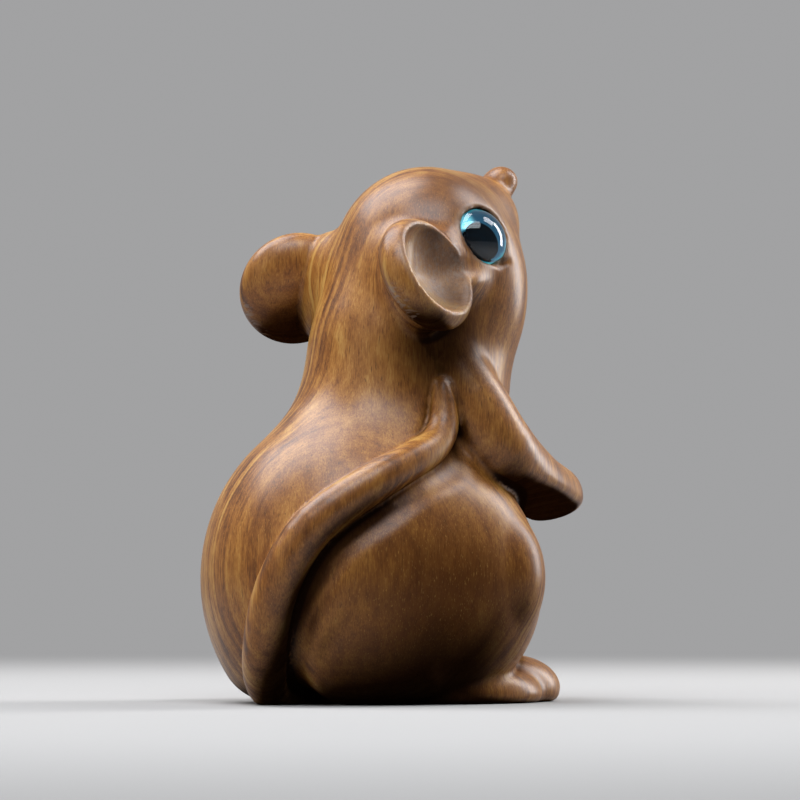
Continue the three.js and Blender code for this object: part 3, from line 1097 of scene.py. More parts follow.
    def marks(self, p: Points, out: Points) -> dict[str, np.ndarray]:
        """What the finish has to know of the surface, from 0 to 1.

        Args:
            p: Points on the surface, in three rows.
            out: The surface's direction at each.

        Returns:
            One value a point, by name.
        """
        right = on_right(p)
        nicks = self.round_ear(np.array(self.nick_turns))[:, :, None]
        from_nick = np.sqrt(((nicks - right) ** 2).sum(1)).min(0)
        return {
            "cavity": self.cavity(p, out),
            "shelter": self.shelter(p, out),
            "edge": self.edge(p, out),
            "flat_sawn": np.abs(unit(vec(*WaxedWood.grain_faces)) @ out),
            "scoop": np.clip(0.5 - self.ear_scoop().distance(right) / self.scoop_blend, 0, 1),
            "nick": np.clip(self.nick_core - from_nick / self.nick_reach, 0, 1),
        }

    def cavity(self, p: Points, out: Points) -> np.ndarray:
        """How much each point lies in a crease, from 0 to 1; the wood paints shade by it.

        Args:
            p: Points on the surface, in three rows.
            out: The surface's direction at each.

        Returns:
            One value a point.
        """
        total = np.zeros(p.shape[1])
        for reach, weight in self.cavity_reaches:
            total += weight * np.clip(1 - self.whole.distance(p + out * reach) / reach, 0, 1)
        return np.clip(total, 0, 1)

    def shelter(self, p: Points, out: Points) -> np.ndarray:
        """How much each point is turned or hidden from the sky and from the front, from 0 to 1; the wood paints
        shade by it.

        Args:
            p: Points on the surface, in three rows.
            out: The surface's direction at each.

        Returns:
            One value a point.
        """
        openness = []
        for way in self.open_ways:
            toward = unit(vec(*way.toward))[:, None]
            clear = np.clip(way.level + way.steepness * (out * toward).sum(0), 0, 1)
            for reach in self.open_reaches:
                gap = self.whole.distance(p + out * self.open_lift + toward * reach)
                clear = np.minimum(clear, np.clip(self.open_level + self.open_gain * gap / reach, 0, 1))
            openness.append(clear)
        return 1 - np.max(openness, axis=0)

    def edge(self, p: Points, out: Points) -> np.ndarray:
        """How much each point lies on a proud edge, from 0 to 1; the wood lightens such edges, partly as wear
        and partly as a painted highlight.
        """
        depth = self.whole.distance(p - out * self.edge_reach)
        return np.clip((depth + self.edge_reach) / self.edge_reach, 0, 1)


Value = Union[float, "Wire"]


class Wire:
    """A node's output that takes part in Python expressions.

    Args:
        graph: The graph that the node is in.
        socket: The output.
    """

    def __init__(self, graph: "Graph", socket: bpy.types.NodeSocket) -> None:
        """Keeps the socket and its graph."""
        self.graph = graph
        self.socket = socket

    def __add__(self, other: Value) -> "Wire":
        """The sum."""
        return self.graph.math("ADD", self, other)

    def __radd__(self, other: float) -> "Wire":
        """The sum."""
        return self.graph.math("ADD", other, self)

    def __sub__(self, other: Value) -> "Wire":
        """The difference."""
        return self.graph.math("SUBTRACT", self, other)

    def __rsub__(self, other: float) -> "Wire":
        """The difference from a number."""
        return self.graph.math("SUBTRACT", other, self)

    def __mul__(self, other: Value) -> "Wire":
        """The product."""
        return self.graph.math("MULTIPLY", self, other)

    def __rmul__(self, other: float) -> "Wire":
        """The product."""
        return self.graph.math("MULTIPLY", other, self)

    def __truediv__(self, other: Value) -> "Wire":
        """The quotient."""
        return self.graph.math("DIVIDE", self, other)

    def __rtruediv__(self, other: float) -> "Wire":
        """A number over the value."""
        return self.graph.math("DIVIDE", other, self)

    def clamp(self) -> "Wire":
        """The value kept from 0 to 1."""
        return self.graph.math("ADD", self, 0.0, use_clamp=True)

    def ease(self, low: float, high: float) -> "Wire":
        """A smooth step from 0 at low to 1 at high."""
        settings = {"interpolation_type": "SMOOTHSTEP"}
        return self.graph.node("ShaderNodeMapRange", settings, {0: self, 1: low, 2: high})


class Graph:
    """A node tree with one method for every node.

    Args:
        tree: The tree that nodes are added to.
    """

    def __init__(self, tree: bpy.types.NodeTree) -> None:
        """Keeps the tree."""
        self.tree = tree

    def feed(self, socket: bpy.types.NodeSocket, value: object) -> None:
        """Links a wire to an input, or gives the input a value.

        Args:
            socket: The input.
            value: The wire or the value.
        """
        if isinstance(value, Wire):
            self.tree.links.new(value.socket, socket)
        else:
            socket.default_value = value

    def add(self, kind: str, settings: dict | None = None, inputs: dict | None = None) -> bpy.types.Node:
        """Adds a node, sets it up and links it.

        Args:
            kind: The node's type.
            settings: Its properties; stops sets a colour ramp's places and colours.
            inputs: Socket numbers or names, each with a value or a wire.

        Returns:
            The node.
        """
        made = self.tree.nodes.new(kind)
        for name, value in (settings or {}).items():
            if name == "stops":
                self.set_stops(made.color_ramp, value)
            else:
                setattr(made, name, value)
        for key, value in (inputs or {}).items():
            self.feed(made.inputs[key], value)
        return made

    @staticmethod
    def set_stops(ramp: bpy.types.ColorRamp, stops: Sequence[tuple[float, Colour]]) -> None:
        """Gives a colour ramp its places and colours.

        Args:
            ramp: The ramp.
            stops: A place and a colour for each stop.
        """
        while len(ramp.elements) < len(stops):
            ramp.elements.new(1.0)
        for element, (place, colour) in zip(ramp.elements, stops):
            element.position = place
            element.color = (*colour, 1.0)

    def node(
        self, kind: str, settings: dict | None = None, inputs: dict | None = None, output: int | str = 0
    ) -> Wire:
        """Adds a node and gives one of its outputs."""
        return Wire(self, self.add(kind, settings, inputs).outputs[output])

    def math(self, operation: str, a: Value, b: Value = 0.0, use_clamp: bool = False) -> Wire:
        """A Math node on one value or two."""
        settings = {"operation": operation, "use_clamp": use_clamp}
        return self.node("ShaderNodeMath", settings, {0: a, 1: b})

    def split(self, vector: Wire) -> tuple[Wire, Wire, Wire]:
        """A vector's three parts."""
        made = self.add("ShaderNodeSeparateXYZ", None, {0: vector})
        return tuple(Wire(self, made.outputs[axis]) for axis in "XYZ")

    def combine(self, x: Value, y: Value, z: Value) -> Wire:
        """A vector from three values."""
        return self.node("ShaderNodeCombineXYZ", None, {0: x, 1: y, 2: z})

    def dot(self, vector: Wire, direction: Sequence[float]) -> Wire:
        """How far a vector reaches along a direction."""
        settings = {"operation": "DOT_PRODUCT"}
        return self.node("ShaderNodeVectorMath", settings, {0: vector, 1: direction}, "Value")

    def mix(self, share: Value, a: Union[Colour, Wire], b: Union[Colour, Wire]) -> Wire:
        """Two colours mixed by a share."""
        first, second = (c if isinstance(c, Wire) else (*c, 1.0) for c in (a, b))
        return self.node("ShaderNodeMix", {"data_type": "RGBA"}, {0: share, 6: first, 7: second}, 2)

    def rays(self) -> tuple[Wire, Wire, Wire]:
        """What kind of ray meets the surface.

        Returns:
            One or zero for a ray from the camera, from a reflection and through glass.
        """
        path = self.add("ShaderNodeLightPath")
        kinds = ("Camera", "Glossy", "Transmission")
        return tuple(Wire(self, path.outputs[f"Is {kind} Ray"]) for kind in kinds)


class ShaderGraph(Graph):
    """A material's nodes, ending in one Principled shader.

    Args:
        name: The material's name.
    """

    def __init__(self, name: str) -> None:
        """Makes the material and empties its tree."""
        self.material = bpy.data.materials.new(name)
        self.material.use_nodes = True
        super().__init__(self.material.node_tree)
        self.tree.nodes.clear()
        self.shader = self.add("ShaderNodeBsdfPrincipled")
        output = self.add("ShaderNodeOutputMaterial")
        self.tree.links.new(self.shader.outputs[0], output.inputs[0])

    def set(self, **inputs: object) -> None:
        """Sets or links the shader's sockets, named with underscores for spaces."""
        for name, value in inputs.items():
            self.feed(self.shader.inputs[name.replace("_", " ")], value)

    def place(self) -> Wire:
        """The object's own coordinates, in millimetres."""
        metres = self.node("ShaderNodeTexCoord", output="Object")
        return self.node("ShaderNodeVectorMath", {"operation": "SCALE"}, {0: metres, 3: 1 / MM})

    def stretched(self, vector: Wire, factors: Triple) -> Wire:
        """A vector with each of its parts times a number."""
        return self.node("ShaderNodeVectorMath", {"operation": "MULTIPLY"}, {0: vector, 1: factors})

    def away(self, vector: Wire, point: Triple) -> Wire:
        """How far a vector's end lies from a point."""
        settings = {"operation": "DISTANCE"}
        return self.node("ShaderNodeVectorMath", settings, {0: vector, 1: point}, "Value")

    def right_hand(self, place: Wire) -> Wire:
        """A place carried to the figure's right side."""
        x, y, z = self.split(place)
        return self.combine(self.math("ABSOLUTE", x) * -1.0, y, z)

    def noise(self, vector: Wire, scale: float, detail: float, roughness: float) -> Wire:
        """Smooth noise from 0 to 1."""
        inputs = {"Vector": vector, "Scale": scale, "Detail": detail, "Roughness": roughness}
        return self.node("ShaderNodeTexNoise", {"noise_dimensions": "3D"}, inputs, "Fac")

    def ramp(self, value: Wire, places: Sequence[float], colours: Sequence[Colour]) -> Wire:
        """A colour picked along a row of stops."""
        return self.node("ShaderNodeValToRGB", {"stops": tuple(zip(places, colours))}, {0: value})

    def attribute(self, name: str) -> Wire:
        """A value stored on the mesh."""
        return self.node("ShaderNodeAttribute", {"attribute_name": name}, output="Fac")

    def bump(self, height: Wire, strength: float, distance: float) -> Wire:
        """A bumped normal; distance is in millimetres."""
        inputs = {"Strength": strength, "Distance": distance * MM, "Height": height}
        return self.node("ShaderNodeBump", None, inputs)


@dataclass(frozen=True)
class Grain:
    """Noise that is stretched along the wood's fibres.

    Args:
        stretch: Its pace through the year rings, across them and upwards.
        weight: How much it counts in the colour.
        detail: How many finer layers it has.
        roughness: How strong those are.
        level: The values between which it sets in, or None for plain noise.
    """

    stretch: Triple
    weight: float
    detail: float
    roughness: float
    level: tuple[float, float] | None = None

    def noise(self, g: ShaderGraph, way: Sequence[Wire]) -> Wire:
        """The noise at a place in the wood.

        Args:
            g: The material.
            way: The place's parts through the year rings, across them and upwards.

        Returns:
            A value from 0 to 1.
        """
        parts = [part * pace for part, pace in zip(way, self.stretch)]
        plain = g.noise(g.combine(*parts), 1.0, self.detail, self.roughness)
        return plain if self.level is None else plain.ease(*self.level)

    def swing(self, g: ShaderGraph, way: Sequence[Wire]) -> Wire:
        """The weighted noise as a shift to both sides of zero."""
        return (self.noise(g, way) - 0.5) * self.weight


@dataclass(frozen=True)
class Speckle:
    """Noise that is alike in all directions.

    Args:
        scale: How fast it changes in a millimetre.
        detail: How many finer layers it has.
        roughness: How strong those are.
    """

    scale: float
    detail: float = 2.0
    roughness: float = 0.5

    def noise(self, g: ShaderGraph, place: Wire) -> Wire:
        """The noise at a place."""
        return g.noise(place, self.scale, self.detail, self.roughness)


@dataclass(frozen=True)
class Spot:
    """A soft round patch, in millimetres.

    Args:
        middle: Its middle.
        full: How far out it counts in full.
        gone: How far out it has faded.
        weight: How much it counts in the colour.
    """

    middle: Triple
    full: float
    gone: float
    weight: float = 1.0

    def share(self, g: ShaderGraph, place: Wire) -> Wire:
        """One in the middle of the patch and zero outside it."""
        return 1.0 - g.away(place, self.middle).ease(self.full, self.gone)


@dataclass(frozen=True)
class Mark:
    """A value stored on the mesh: where it sets in, where it is full, and how much it counts."""

    name: str
    low: float
    high: float
    weight: float

    def share(self, g: ShaderGraph) -> Wire:
        """The value, eased from 0 to 1."""
        return g.attribute(self.name).ease(self.low, self.high)


@dataclass(frozen=True)
class WaxedWood:
    """Warm brown hardwood with upright grain under a rubbed wax polish.

    The year rings lie across grain_faces, so they show as upright streaks where the surface cuts them.
    """

    # Colours
    dark: Colour = (0.1, 0.032, 0.0065)
    brown: Colour = (0.245, 0.087, 0.0165)
    amber: Colour = (0.39, 0.165, 0.0325)
    straw: Colour = (0.53, 0.293, 0.078)
    stops: Sequence[float] = (0.34, 0.45, 0.54, 0.66)
    # Near black, for painted shade
    painted_shade: Colour = (0.02, 0.008, 0.004)
    # Pale grey-brown for dust in the ear cups and nicks, and for lighter edges that are partly a painted
    # highlight
    dust: Colour = (0.3, 0.23, 0.185)

    # Grain
    grain_faces: Triple = (-0.8, 0.58, 0.1)
    grain_side: Triple = (-0.58, -0.8, 0.0)
    drift: Speckle = Speckle(1.0)
    drift_pace: Triple = (0.05, 0.05, 0.012)
    drift_reach: float = 5.0
    bands: Grain = Grain((0.42, 0.05, 0.008), 0.7, 3.0, 0.55)
    streaks: Grain = Grain((1.9, 0.16, 0.02), 0.75, 3.0, 0.6)
    fibres: Grain = Grain((5.5, 5.5, 0.55), 0.34, 3.0, 0.65)
    cloud: Grain = Grain((0.5, 0.5, 0.2), 0.36, 4.0, 0.65)
    pores: Grain = Grain((3.6, 3.6, 0.42), 0.65, 1.0, 0.5, (0.63, 0.74))
    flecks: Grain = Grain((8.0, 8.0, 1.5), 0.5, 1.0, 0.5, (0.62, 0.78))
    chips: Grain = Grain((0.7, 0.7, 2.4), 0.7, 1.0, 0.5, (0.5, 0.6))
    tone: float = 0.46
    figure_lift: float = 0.05
    front_from: tuple[float, float] = (-16.0, -2.0)
    front_share: float = 0.5

    # Darker and lighter patches; the flank patch is partly the wood's tone and partly painted shade
    # A darker patch low on the flank: partly the wood's own tone, partly painted shade where the flank turns
    # from the light; it also dulls the wax there
    flank_dark_and_shade: Spot = Spot((-20, 6, 12), 0.0, 26.0, 1.2)
    crown: Spot = Spot((-9.5, -6.2, 72), 0.0, 15.0)
    nape: Spot = Spot((-9, 9, 50), 0.0, 19.0, 0.07)
    # hollow is painted shade under each ear, on the neck and cheek of both sides
    hollow: Spot = Spot((-13, 0.6, 50.4), 2.6, 10.5, 0.92)
    mottle: Speckle = Speckle(0.16, 3.0, 0.6)
    mottle_level: float = 0.3
    mottle_gain: float = 0.8

    # Grain cut; painted shade in creases, in places hidden from the sky and the front, and under the ears;
    # lighter edges, partly wear and partly a painted highlight; dust in the ear cups and nicks
    flat_sawn: Mark = Mark("flat_sawn", 0.35, 0.85, 0.8)
    cavity: Mark = Mark("cavity", 0.25, 0.8, 0.7)
    shelter: Mark = Mark("shelter", 0.3, 1.0, 0.93)
    edge: Mark = Mark("edge", 0.35, 0.8, 0.35)
    scoop_unshaded: float = 0.85
    dots: Speckle = Speckle(1.6, 2.0, 0.6)
    dot_level: tuple[float, float] = (0.45, 0.65)
    dot_share: float = 0.4

    # Sheen
    rough: float = 0.58
    fibre_rough: float = 0.25
    hollow_rough: float = 0.3
    pore_rough: float = 0.1
    relief: float = 0.5
    bump_strength: float = 0.3
    bump_height: float = 0.1
    polish: float = 0.85
    scoop_dull: float = 0.6
    flank_dark_and_shade_dull: float = 0.85
    wax_rough: float = 0.36
    wax_ior: float = 1.6

    def grain_way(self, g: ShaderGraph, place: Wire) -> tuple[Wire, Wire, Wire]:
        """A place as the grain sees it.

        Args:
            g: The material.
            place: The place in millimetres.

        Returns:
            Its parts through the year rings, across them and upwards.
        """
        _, _, upright = g.split(place)
        drift = self.drift.noise(g, g.stretched(place, self.drift_pace))
        depth = g.dot(place, self.grain_faces) + (drift - 0.5) * self.drift_reach
        return depth, g.dot(place, self.grain_side), upright

    def timber(self, g: ShaderGraph, place: Wire, way: Sequence[Wire], fibres: Wire) -> Wire:
        """The colour of the clean wood, with its bands and streaks.

        Args:
            g: The material.
            place: The place in millimetres.
            way: The place as the grain sees it.
            fibres: The fine fibres.

        Returns:
            A colour.
        """
        _, rearward, _ = g.split(place)
        front = (1.0 - self.front_share) + self.front_share * rearward.ease(*self.front_from)
        clear = (1.0 - self.flat_sawn.share(g) * self.flat_sawn.weight) * front
        figure = self.bands.swing(g, way) + self.streaks.swing(g, way) + self.figure_lift
        tone = self.tone + figure * clear + (fibres - 0.5) * self.fibres.weight
        tone = tone + self.cloud.swing(g, way) + self.nape.share(g, place) * self.nape.weight
        return g.ramp(tone, self.stops, (self.dark, self.brown, self.amber, self.straw))

    def material(self) -> bpy.types.Material:
        """Builds the finish.

        Returns:
            The material.
        """
        g = ShaderGraph("waxed_wood")
        place = g.place()
        way = self.grain_way(g, place)
        fibres = self.fibres.noise(g, way)
        pores = self.pores.noise(g, way)
        flank_dark_and_shade = self.flank_dark_and_shade.share(g, place)
        scoop = g.attribute("scoop")
        # Painted shade in creases, in places hidden from the sky and the front, and under the ears; less of it
        # inside the ear cups
        kept_dark = 1.0 - scoop * self.scoop_unshaded
        cavity = self.cavity.share(g) * kept_dark
        # Painted shade under each ear
        hollow = self.hollow.share(g, g.right_hand(place)) * self.hollow.weight
        under = g.math("MAXIMUM", self.shelter.share(g) * kept_dark, hollow)

        colour = self.timber(g, place, way, fibres)
        mottle = self.mottle.noise(g, place) * self.mottle_gain
        # Darker patches: the flank patch, partly painted shade, and the patch on the crown
        dark_patches = flank_dark_and_shade * self.flank_dark_and_shade.weight + self.crown.share(g, place)
        colour = g.mix((dark_patches * (self.mottle_level + mottle)).clamp(), colour, self.dark)
        colour = g.mix(pores * self.pores.weight, colour, self.dark)
        colour = g.mix(self.flecks.noise(g, way) * self.flecks.weight, colour, self.straw)
        dots = self.dots.noise(g, place).ease(*self.dot_level)
        colour = g.mix(scoop * ((1.0 - self.dot_share) + self.dot_share * dots), colour, self.dust)
        # The painted shade darkens the colour towards near black
        shade_share = cavity * self.cavity.weight + under * self.shelter.weight
        colour = g.mix(shade_share.clamp(), colour, self.painted_shade)
        # Lighter proud edges, partly wear and partly a painted highlight, left out where painted shade lies
        edge = self.edge.share(g) * (1.0 - under) * (1.0 - cavity)
        colour = g.mix(edge * self.edge.weight, colour, self.dust)
        chips = g.attribute("nick") * self.chips.noise(g, way)
        colour = g.mix(chips * self.chips.weight, colour, self.dust)

        rough = self.rough + (fibres - 0.5) * self.fibre_rough + cavity * self.hollow_rough
        rough = rough + under * self.hollow_rough + pores * self.pore_rough
        relief = g.bump((fibres - pores) * self.relief, self.bump_strength, self.bump_height)
        polish = self.polish * (1.0 - cavity) * (1.0 - under)
        polish = polish * (1.0 - self.scoop_dull * scoop) * (1.0 - self.flank_dark_and_shade_dull * flank_dark_and_shade)
        g.set(Base_Color=colour, Roughness=rough.clamp(), Normal=relief, Specular_IOR_Level=0.0)
        g.set(Coat_Weight=polish, Coat_Roughness=self.wax_rough, Coat_IOR=self.wax_ior)
        return g.material


@dataclass(frozen=True)
class ClearGlass:
    """Polished clear glass."""

    tint: Colour = (0.86, 0.97, 1.0)
    ior: float = 1.5

    def material(self) -> bpy.types.Material:
        """Builds the finish.

        Returns:
            The material.
        """
        g = ShaderGraph("clear_glass")
        g.set(Base_Color=(*self.tint, 1.0), Roughness=0.0, IOR=self.ior, Transmission_Weight=1.0)
        return g.material


@dataclass(frozen=True)
class BlueFoil:
    """Lacquered foil that goes from deep blue inside the ring to a paler teal at its rim.

    The middle and the spot of the painted glint, a pale patch that stands for a reflection, are those of the
    right eye, in millimetres.
    """

    middle: Triple
    facet: Triple
    deep: Colour = (0.0, 0.05, 0.1)
    teal: Colour = (0.0, 0.22, 0.3)
    pale: Colour = (0.02, 0.5, 0.56)
    # Pale cyan of the painted reflection on the foil
    glint_colour: Colour = (0.16, 0.6, 0.72)
    stops: Sequence[float] = (0.1, 0.5, 0.95)
    ring_reach: tuple[float, float] = (2.9, 4.3)
    facet_reach: tuple[float, float] = (0.5, 1.5)
    crinkle: Speckle = Speckle(1.1, 3.0, 0.6)
    crinkle_tone: float = 0.5
    facet_level: float = 0.5
    facet_gain: float = 0.6
    rough: float = 0.3
    rough_gain: float = 0.15
    metal: float = 0.4
    # The foil's emission is a painted glow, standing in for light that reaches it through the glass
    glow: float = 0.6

    def material(self) -> bpy.types.Material:
        """Builds the finish.

        Returns:
            The material.
        """
        g = ShaderGraph("blue_foil")
        place = g.place()
        right = g.right_hand(place)
        crinkle = self.crinkle.noise(g, place)
        ring = g.away(right, self.middle).ease(*self.ring_reach) + (crinkle - 0.5) * self.crinkle_tone
        colour = g.ramp(ring, self.stops, (self.deep, self.teal, self.pale))
        # A painted reflection: a pale cyan patch on the foil, where the dome shows the sky
        facet = Spot(self.facet, *self.facet_reach).share(g, right)
        glint_strength = (self.facet_level + crinkle * self.facet_gain).clamp()
        colour = g.mix(facet * glint_strength, colour, self.glint_colour)
        rough = (self.rough + crinkle * self.rough_gain).clamp()
        g.set(Base_Color=colour, Roughness=rough, Metallic=self.metal)
        # Painted glow: emission in the foil's own colour
        g.set(Emission_Color=colour, Emission_Strength=self.glow)
        return g.material


@dataclass(frozen=True)
class BlackEnamel:
    """Glossy black paint on the back of the glass."""

    black: Colour = (0.004, 0.005, 0.007)
    sheen: Colour = (0.001, 0.005, 0.009)
    cloud: Speckle = Speckle(0.8)
    rough: float = 0.3
    rough_gain: float = 0.1

    def material(self) -> bpy.types.Material:
        """Builds the finish.

        Returns:
            The material.
        """
        g = ShaderGraph("black_enamel")
        cloud = self.cloud.noise(g, g.place())
        rough = (self.rough + cloud * self.rough_gain).clamp()
        g.set(Base_Color=g.mix(cloud, self.black, self.sheen), Roughness=rough, Specular_IOR_Level=0.0)
        return g.material


@dataclass(frozen=True)
class CuredGlue:
    """The bed of glue in the socket."""

    amber: Colour = (0.45, 0.33, 0.13)
    pale: Colour = (0.62, 0.52, 0.3)
    cloud: Speckle = Speckle(1.4)
    rough: float = 0.4
    rough_gain: float = 0.2

    def material(self) -> bpy.types.Material:
        """Builds the finish.

        Returns:
            The material.
        """
        g = ShaderGraph("cured_glue")
        cloud = self.cloud.noise(g, g.place())
        rough = (self.rough + cloud * self.rough_gain).clamp()
        g.set(Base_Color=g.mix(cloud, self.amber, self.pale), Roughness=rough)
        return g.material


def face_outwards(mesh: bpy.types.Mesh) -> None:
    """Turns a closed mesh's faces outwards.

    Args:
        mesh: The mesh, changed in place.
    """
    work = bmesh.new()
    work.from_mesh(mesh)
    bmesh.ops.recalc_face_normals(work, faces=work.faces)
    work.to_mesh(mesh)
    work.free()


@dataclass(frozen=True)
class SpunSize:
    """The size of a spun piece in millimetres, and how many rings its profile is cut into."""

    radius: float
    edge: float
    dome: float
    rings: int = 24


class SpunGraph(Graph):
    """A Geometry Nodes tree that spins a profile: a flat back, a straight edge and a dome.

    BACK and WALL are the shares of the rings that the back and the edge take, and WELD is in metres.

    Args:
        name: The tree's name.
    """

    SIZES = (("Radius", 4.0), ("Edge", 0.8), ("Dome", 2.2))
    COUNTS = (("Sides", 96), ("Rings", 40))
    BACK = 0.15
    WALL = 0.1
    WELD = 0.00001

    def __init__(self, name: str) -> None:
        """Builds the tree with its named inputs."""
        super().__init__(bpy.data.node_groups.new(name, "GeometryNodeTree"))
        self.identifiers: dict[str, str] = {}
        self.tree.interface.new_socket("Geometry", in_out="OUTPUT", socket_type="NodeSocketGeometry")
        for label, value in self.SIZES:
            self.declare(label, "NodeSocketFloat", value)
        for label, value in self.COUNTS:
            self.declare(label, "NodeSocketInt", value)
        self.declare("Finish", "NodeSocketMaterial", None)
        self.source = self.add("NodeGroupInput")
        self.build()

    def declare(self, label: str, kind: str, value: float | int | None) -> None:
        """Adds a named input.

        Args:
            label: Its name.
            kind: Its type.
            value: Its default, or None where it has none.
        """
        socket = self.tree.interface.new_socket(label, in_out="INPUT", socket_type=kind)
        if value is not None:
            socket.default_value = value
        self.identifiers[label] = socket.identifier

    def given(self, label: str) -> Wire:
        """The value of a named input."""
        return Wire(self, self.source.outputs[label])

    def build(self) -> None:
        """Spins the profile from a grid, closes its seam and gives it its finish."""
        radius, edge, dome = (self.given(label) for label, _ in self.SIZES)
        sides, rings = (self.given(label) for label, _ in self.COUNTS)
        size = {"Size X": 1.0, "Size Y": 1.0, "Vertices X": sides, "Vertices Y": rings}
        grid = self.node("GeometryNodeMeshGrid", None, size)
        across, along, _ = self.split(self.node("GeometryNodeInputPosition"))
        turn = (across + 0.5) * math.tau
        share = along + 0.5
        flat = self.BACK + self.WALL
        back = (share / self.BACK).clamp()
        wall = ((share - self.BACK) / self.WALL).clamp()
        over = ((share - flat) / (1 - flat)).clamp()
        sphere = (radius * radius + dome * dome) / (dome * 2.0)
        angle = self.math("ARCSINE", radius / sphere) * (1.0 - over)
        reach = radius * back - radius + sphere * self.math("SINE", angle)
        height = edge * wall + dome - sphere * (1.0 - self.math("COSINE", angle))
        x = reach * self.math("COSINE", turn)
        y = reach * self.math("SINE", turn)
        spot = self.combine(x * MM, y * MM, height * MM)
        made = self.node("GeometryNodeSetPosition", None, {"Geometry": grid, "Position": spot})
        made = self.node("GeometryNodeMergeByDistance", None, {"Geometry": made, "Distance": self.WELD})
        made = self.node("GeometryNodeSetShadeSmooth", None, {"Geometry": made})
        made = self.node("GeometryNodeRealizeInstances", None, {"Geometry": made})
        finish = self.given("Finish")
        made = self.node("GeometryNodeSetMaterial", None, {"Geometry": made, "Material": finish})
        self.add("NodeGroupOutput", None, {"Geometry": made})

    def piece(self, name: str, place: Matrix, size: SpunSize, finish: bpy.types.Material) -> bpy.types.Object:
        """Runs the tree and turns its result into a plain mesh in its place.

        Args:
            name: The piece's name.
            place: Where the piece goes.
            size: Its size.
            finish: Its material.

        Returns:
            The piece.
        """
        carrier = add_object(f"{name}_carrier", bpy.data.meshes.new(f"{name}_carrier"))
        modifier = carrier.modifiers.new("spun", "NODES")
        modifier.node_group = self.tree
        inputs = {"Radius": size.radius, "Edge": size.edge, "Dome": size.dome, "Rings": size.rings}
        for label, value in {**inputs, "Finish": finish}.items():
            modifier[self.identifiers[label]] = value
        evaluated = carrier.evaluated_get(bpy.context.evaluated_depsgraph_get())
        mesh = bpy.data.meshes.new_from_object(evaluated)
        bpy.data.objects.remove(carrier)
        mesh.name = name
        mesh.transform(place)
        face_outwards(mesh)
        return add_object(name, mesh)


@dataclass
class GlassEye:
    """An inlaid eye: a clear dome over a foil disc and a black button, in millimetres.

    The button lies lower and further back than the foil's middle; the spot given last is where a painted
    reflection lies on the foil.
    """

    side: Side
    dome: SpunSize = SpunSize(4.0, 1.55, 2.2, 40)
    foil: SpunSize = SpunSize(3.9, 0.35, 0.02)
    button: SpunSize = SpunSize(2.32, 0.2, 0.05)
    sink: float = 0.5
    foil_drop: float = 1.45
    button_lift: float = 0.75
    button_drop: float = 0.85
    button_back: float = 0.5
    facet_spot: Triple = (-1.6, 1.7, -1.6)

    @staticmethod
    def raised(height: float) -> Matrix:
        """A move along the eye's axis."""
        return Matrix.Translation((0, 0, height * MM))

    def build(
        self, spun: SpunGraph, seat: Matrix, finishes: dict[str, bpy.types.Material]
    ) -> list[bpy.types.Object]:
        """Makes the dome, the foil and the button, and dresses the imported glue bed.

        Args:
            spun: The tree that spins a profile.
            seat: The eye's place on the carving.
            finishes: The materials by slot.

        Returns:
            The four pieces.
        """
        name = f"{self.side.word}_eye"
        foil_level = -self.sink - self.foil_drop
        offset = Matrix.Translation((0, self.button_back * MM, -self.button_drop * MM))
        layers = (
            ("dome", "lens", self.dome, seat @ self.raised(-self.sink - self.dome.edge)),
            ("foil", "iris", self.foil, seat @ self.raised(foil_level)),
            ("button", "pupil", self.button, offset @ seat @ self.raised(foil_level + self.button_lift)),
        )
        pieces = []
        for word, slot, size, place in layers:
            piece = spun.piece(f"{name}_{word}", place, size, finishes[slot])
            stand_for(piece, f"{name}_{slot}")
            pieces.append(piece)
        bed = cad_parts[f"{name}_adhesive"]
        bed.data.materials.clear()
        bed.data.materials.append(finishes["adhesive"])
        return [*pieces, bed]


@dataclass(frozen=True)
class Lamp:
    """A soft lamp.

    Args:
        name: Its name.
        place: How far it is to the right, towards the camera and up, as the camera sees it, in millimetres.
        size: Its width and height in millimetres.
        power: Its power in watts.
        colour: The colour of its light.
        mirrored: Whether polished surfaces show it.
    """

    name: str
    place: Triple
    size: tuple[float, float]
    power: float
    colour: Colour
    mirrored: bool = True


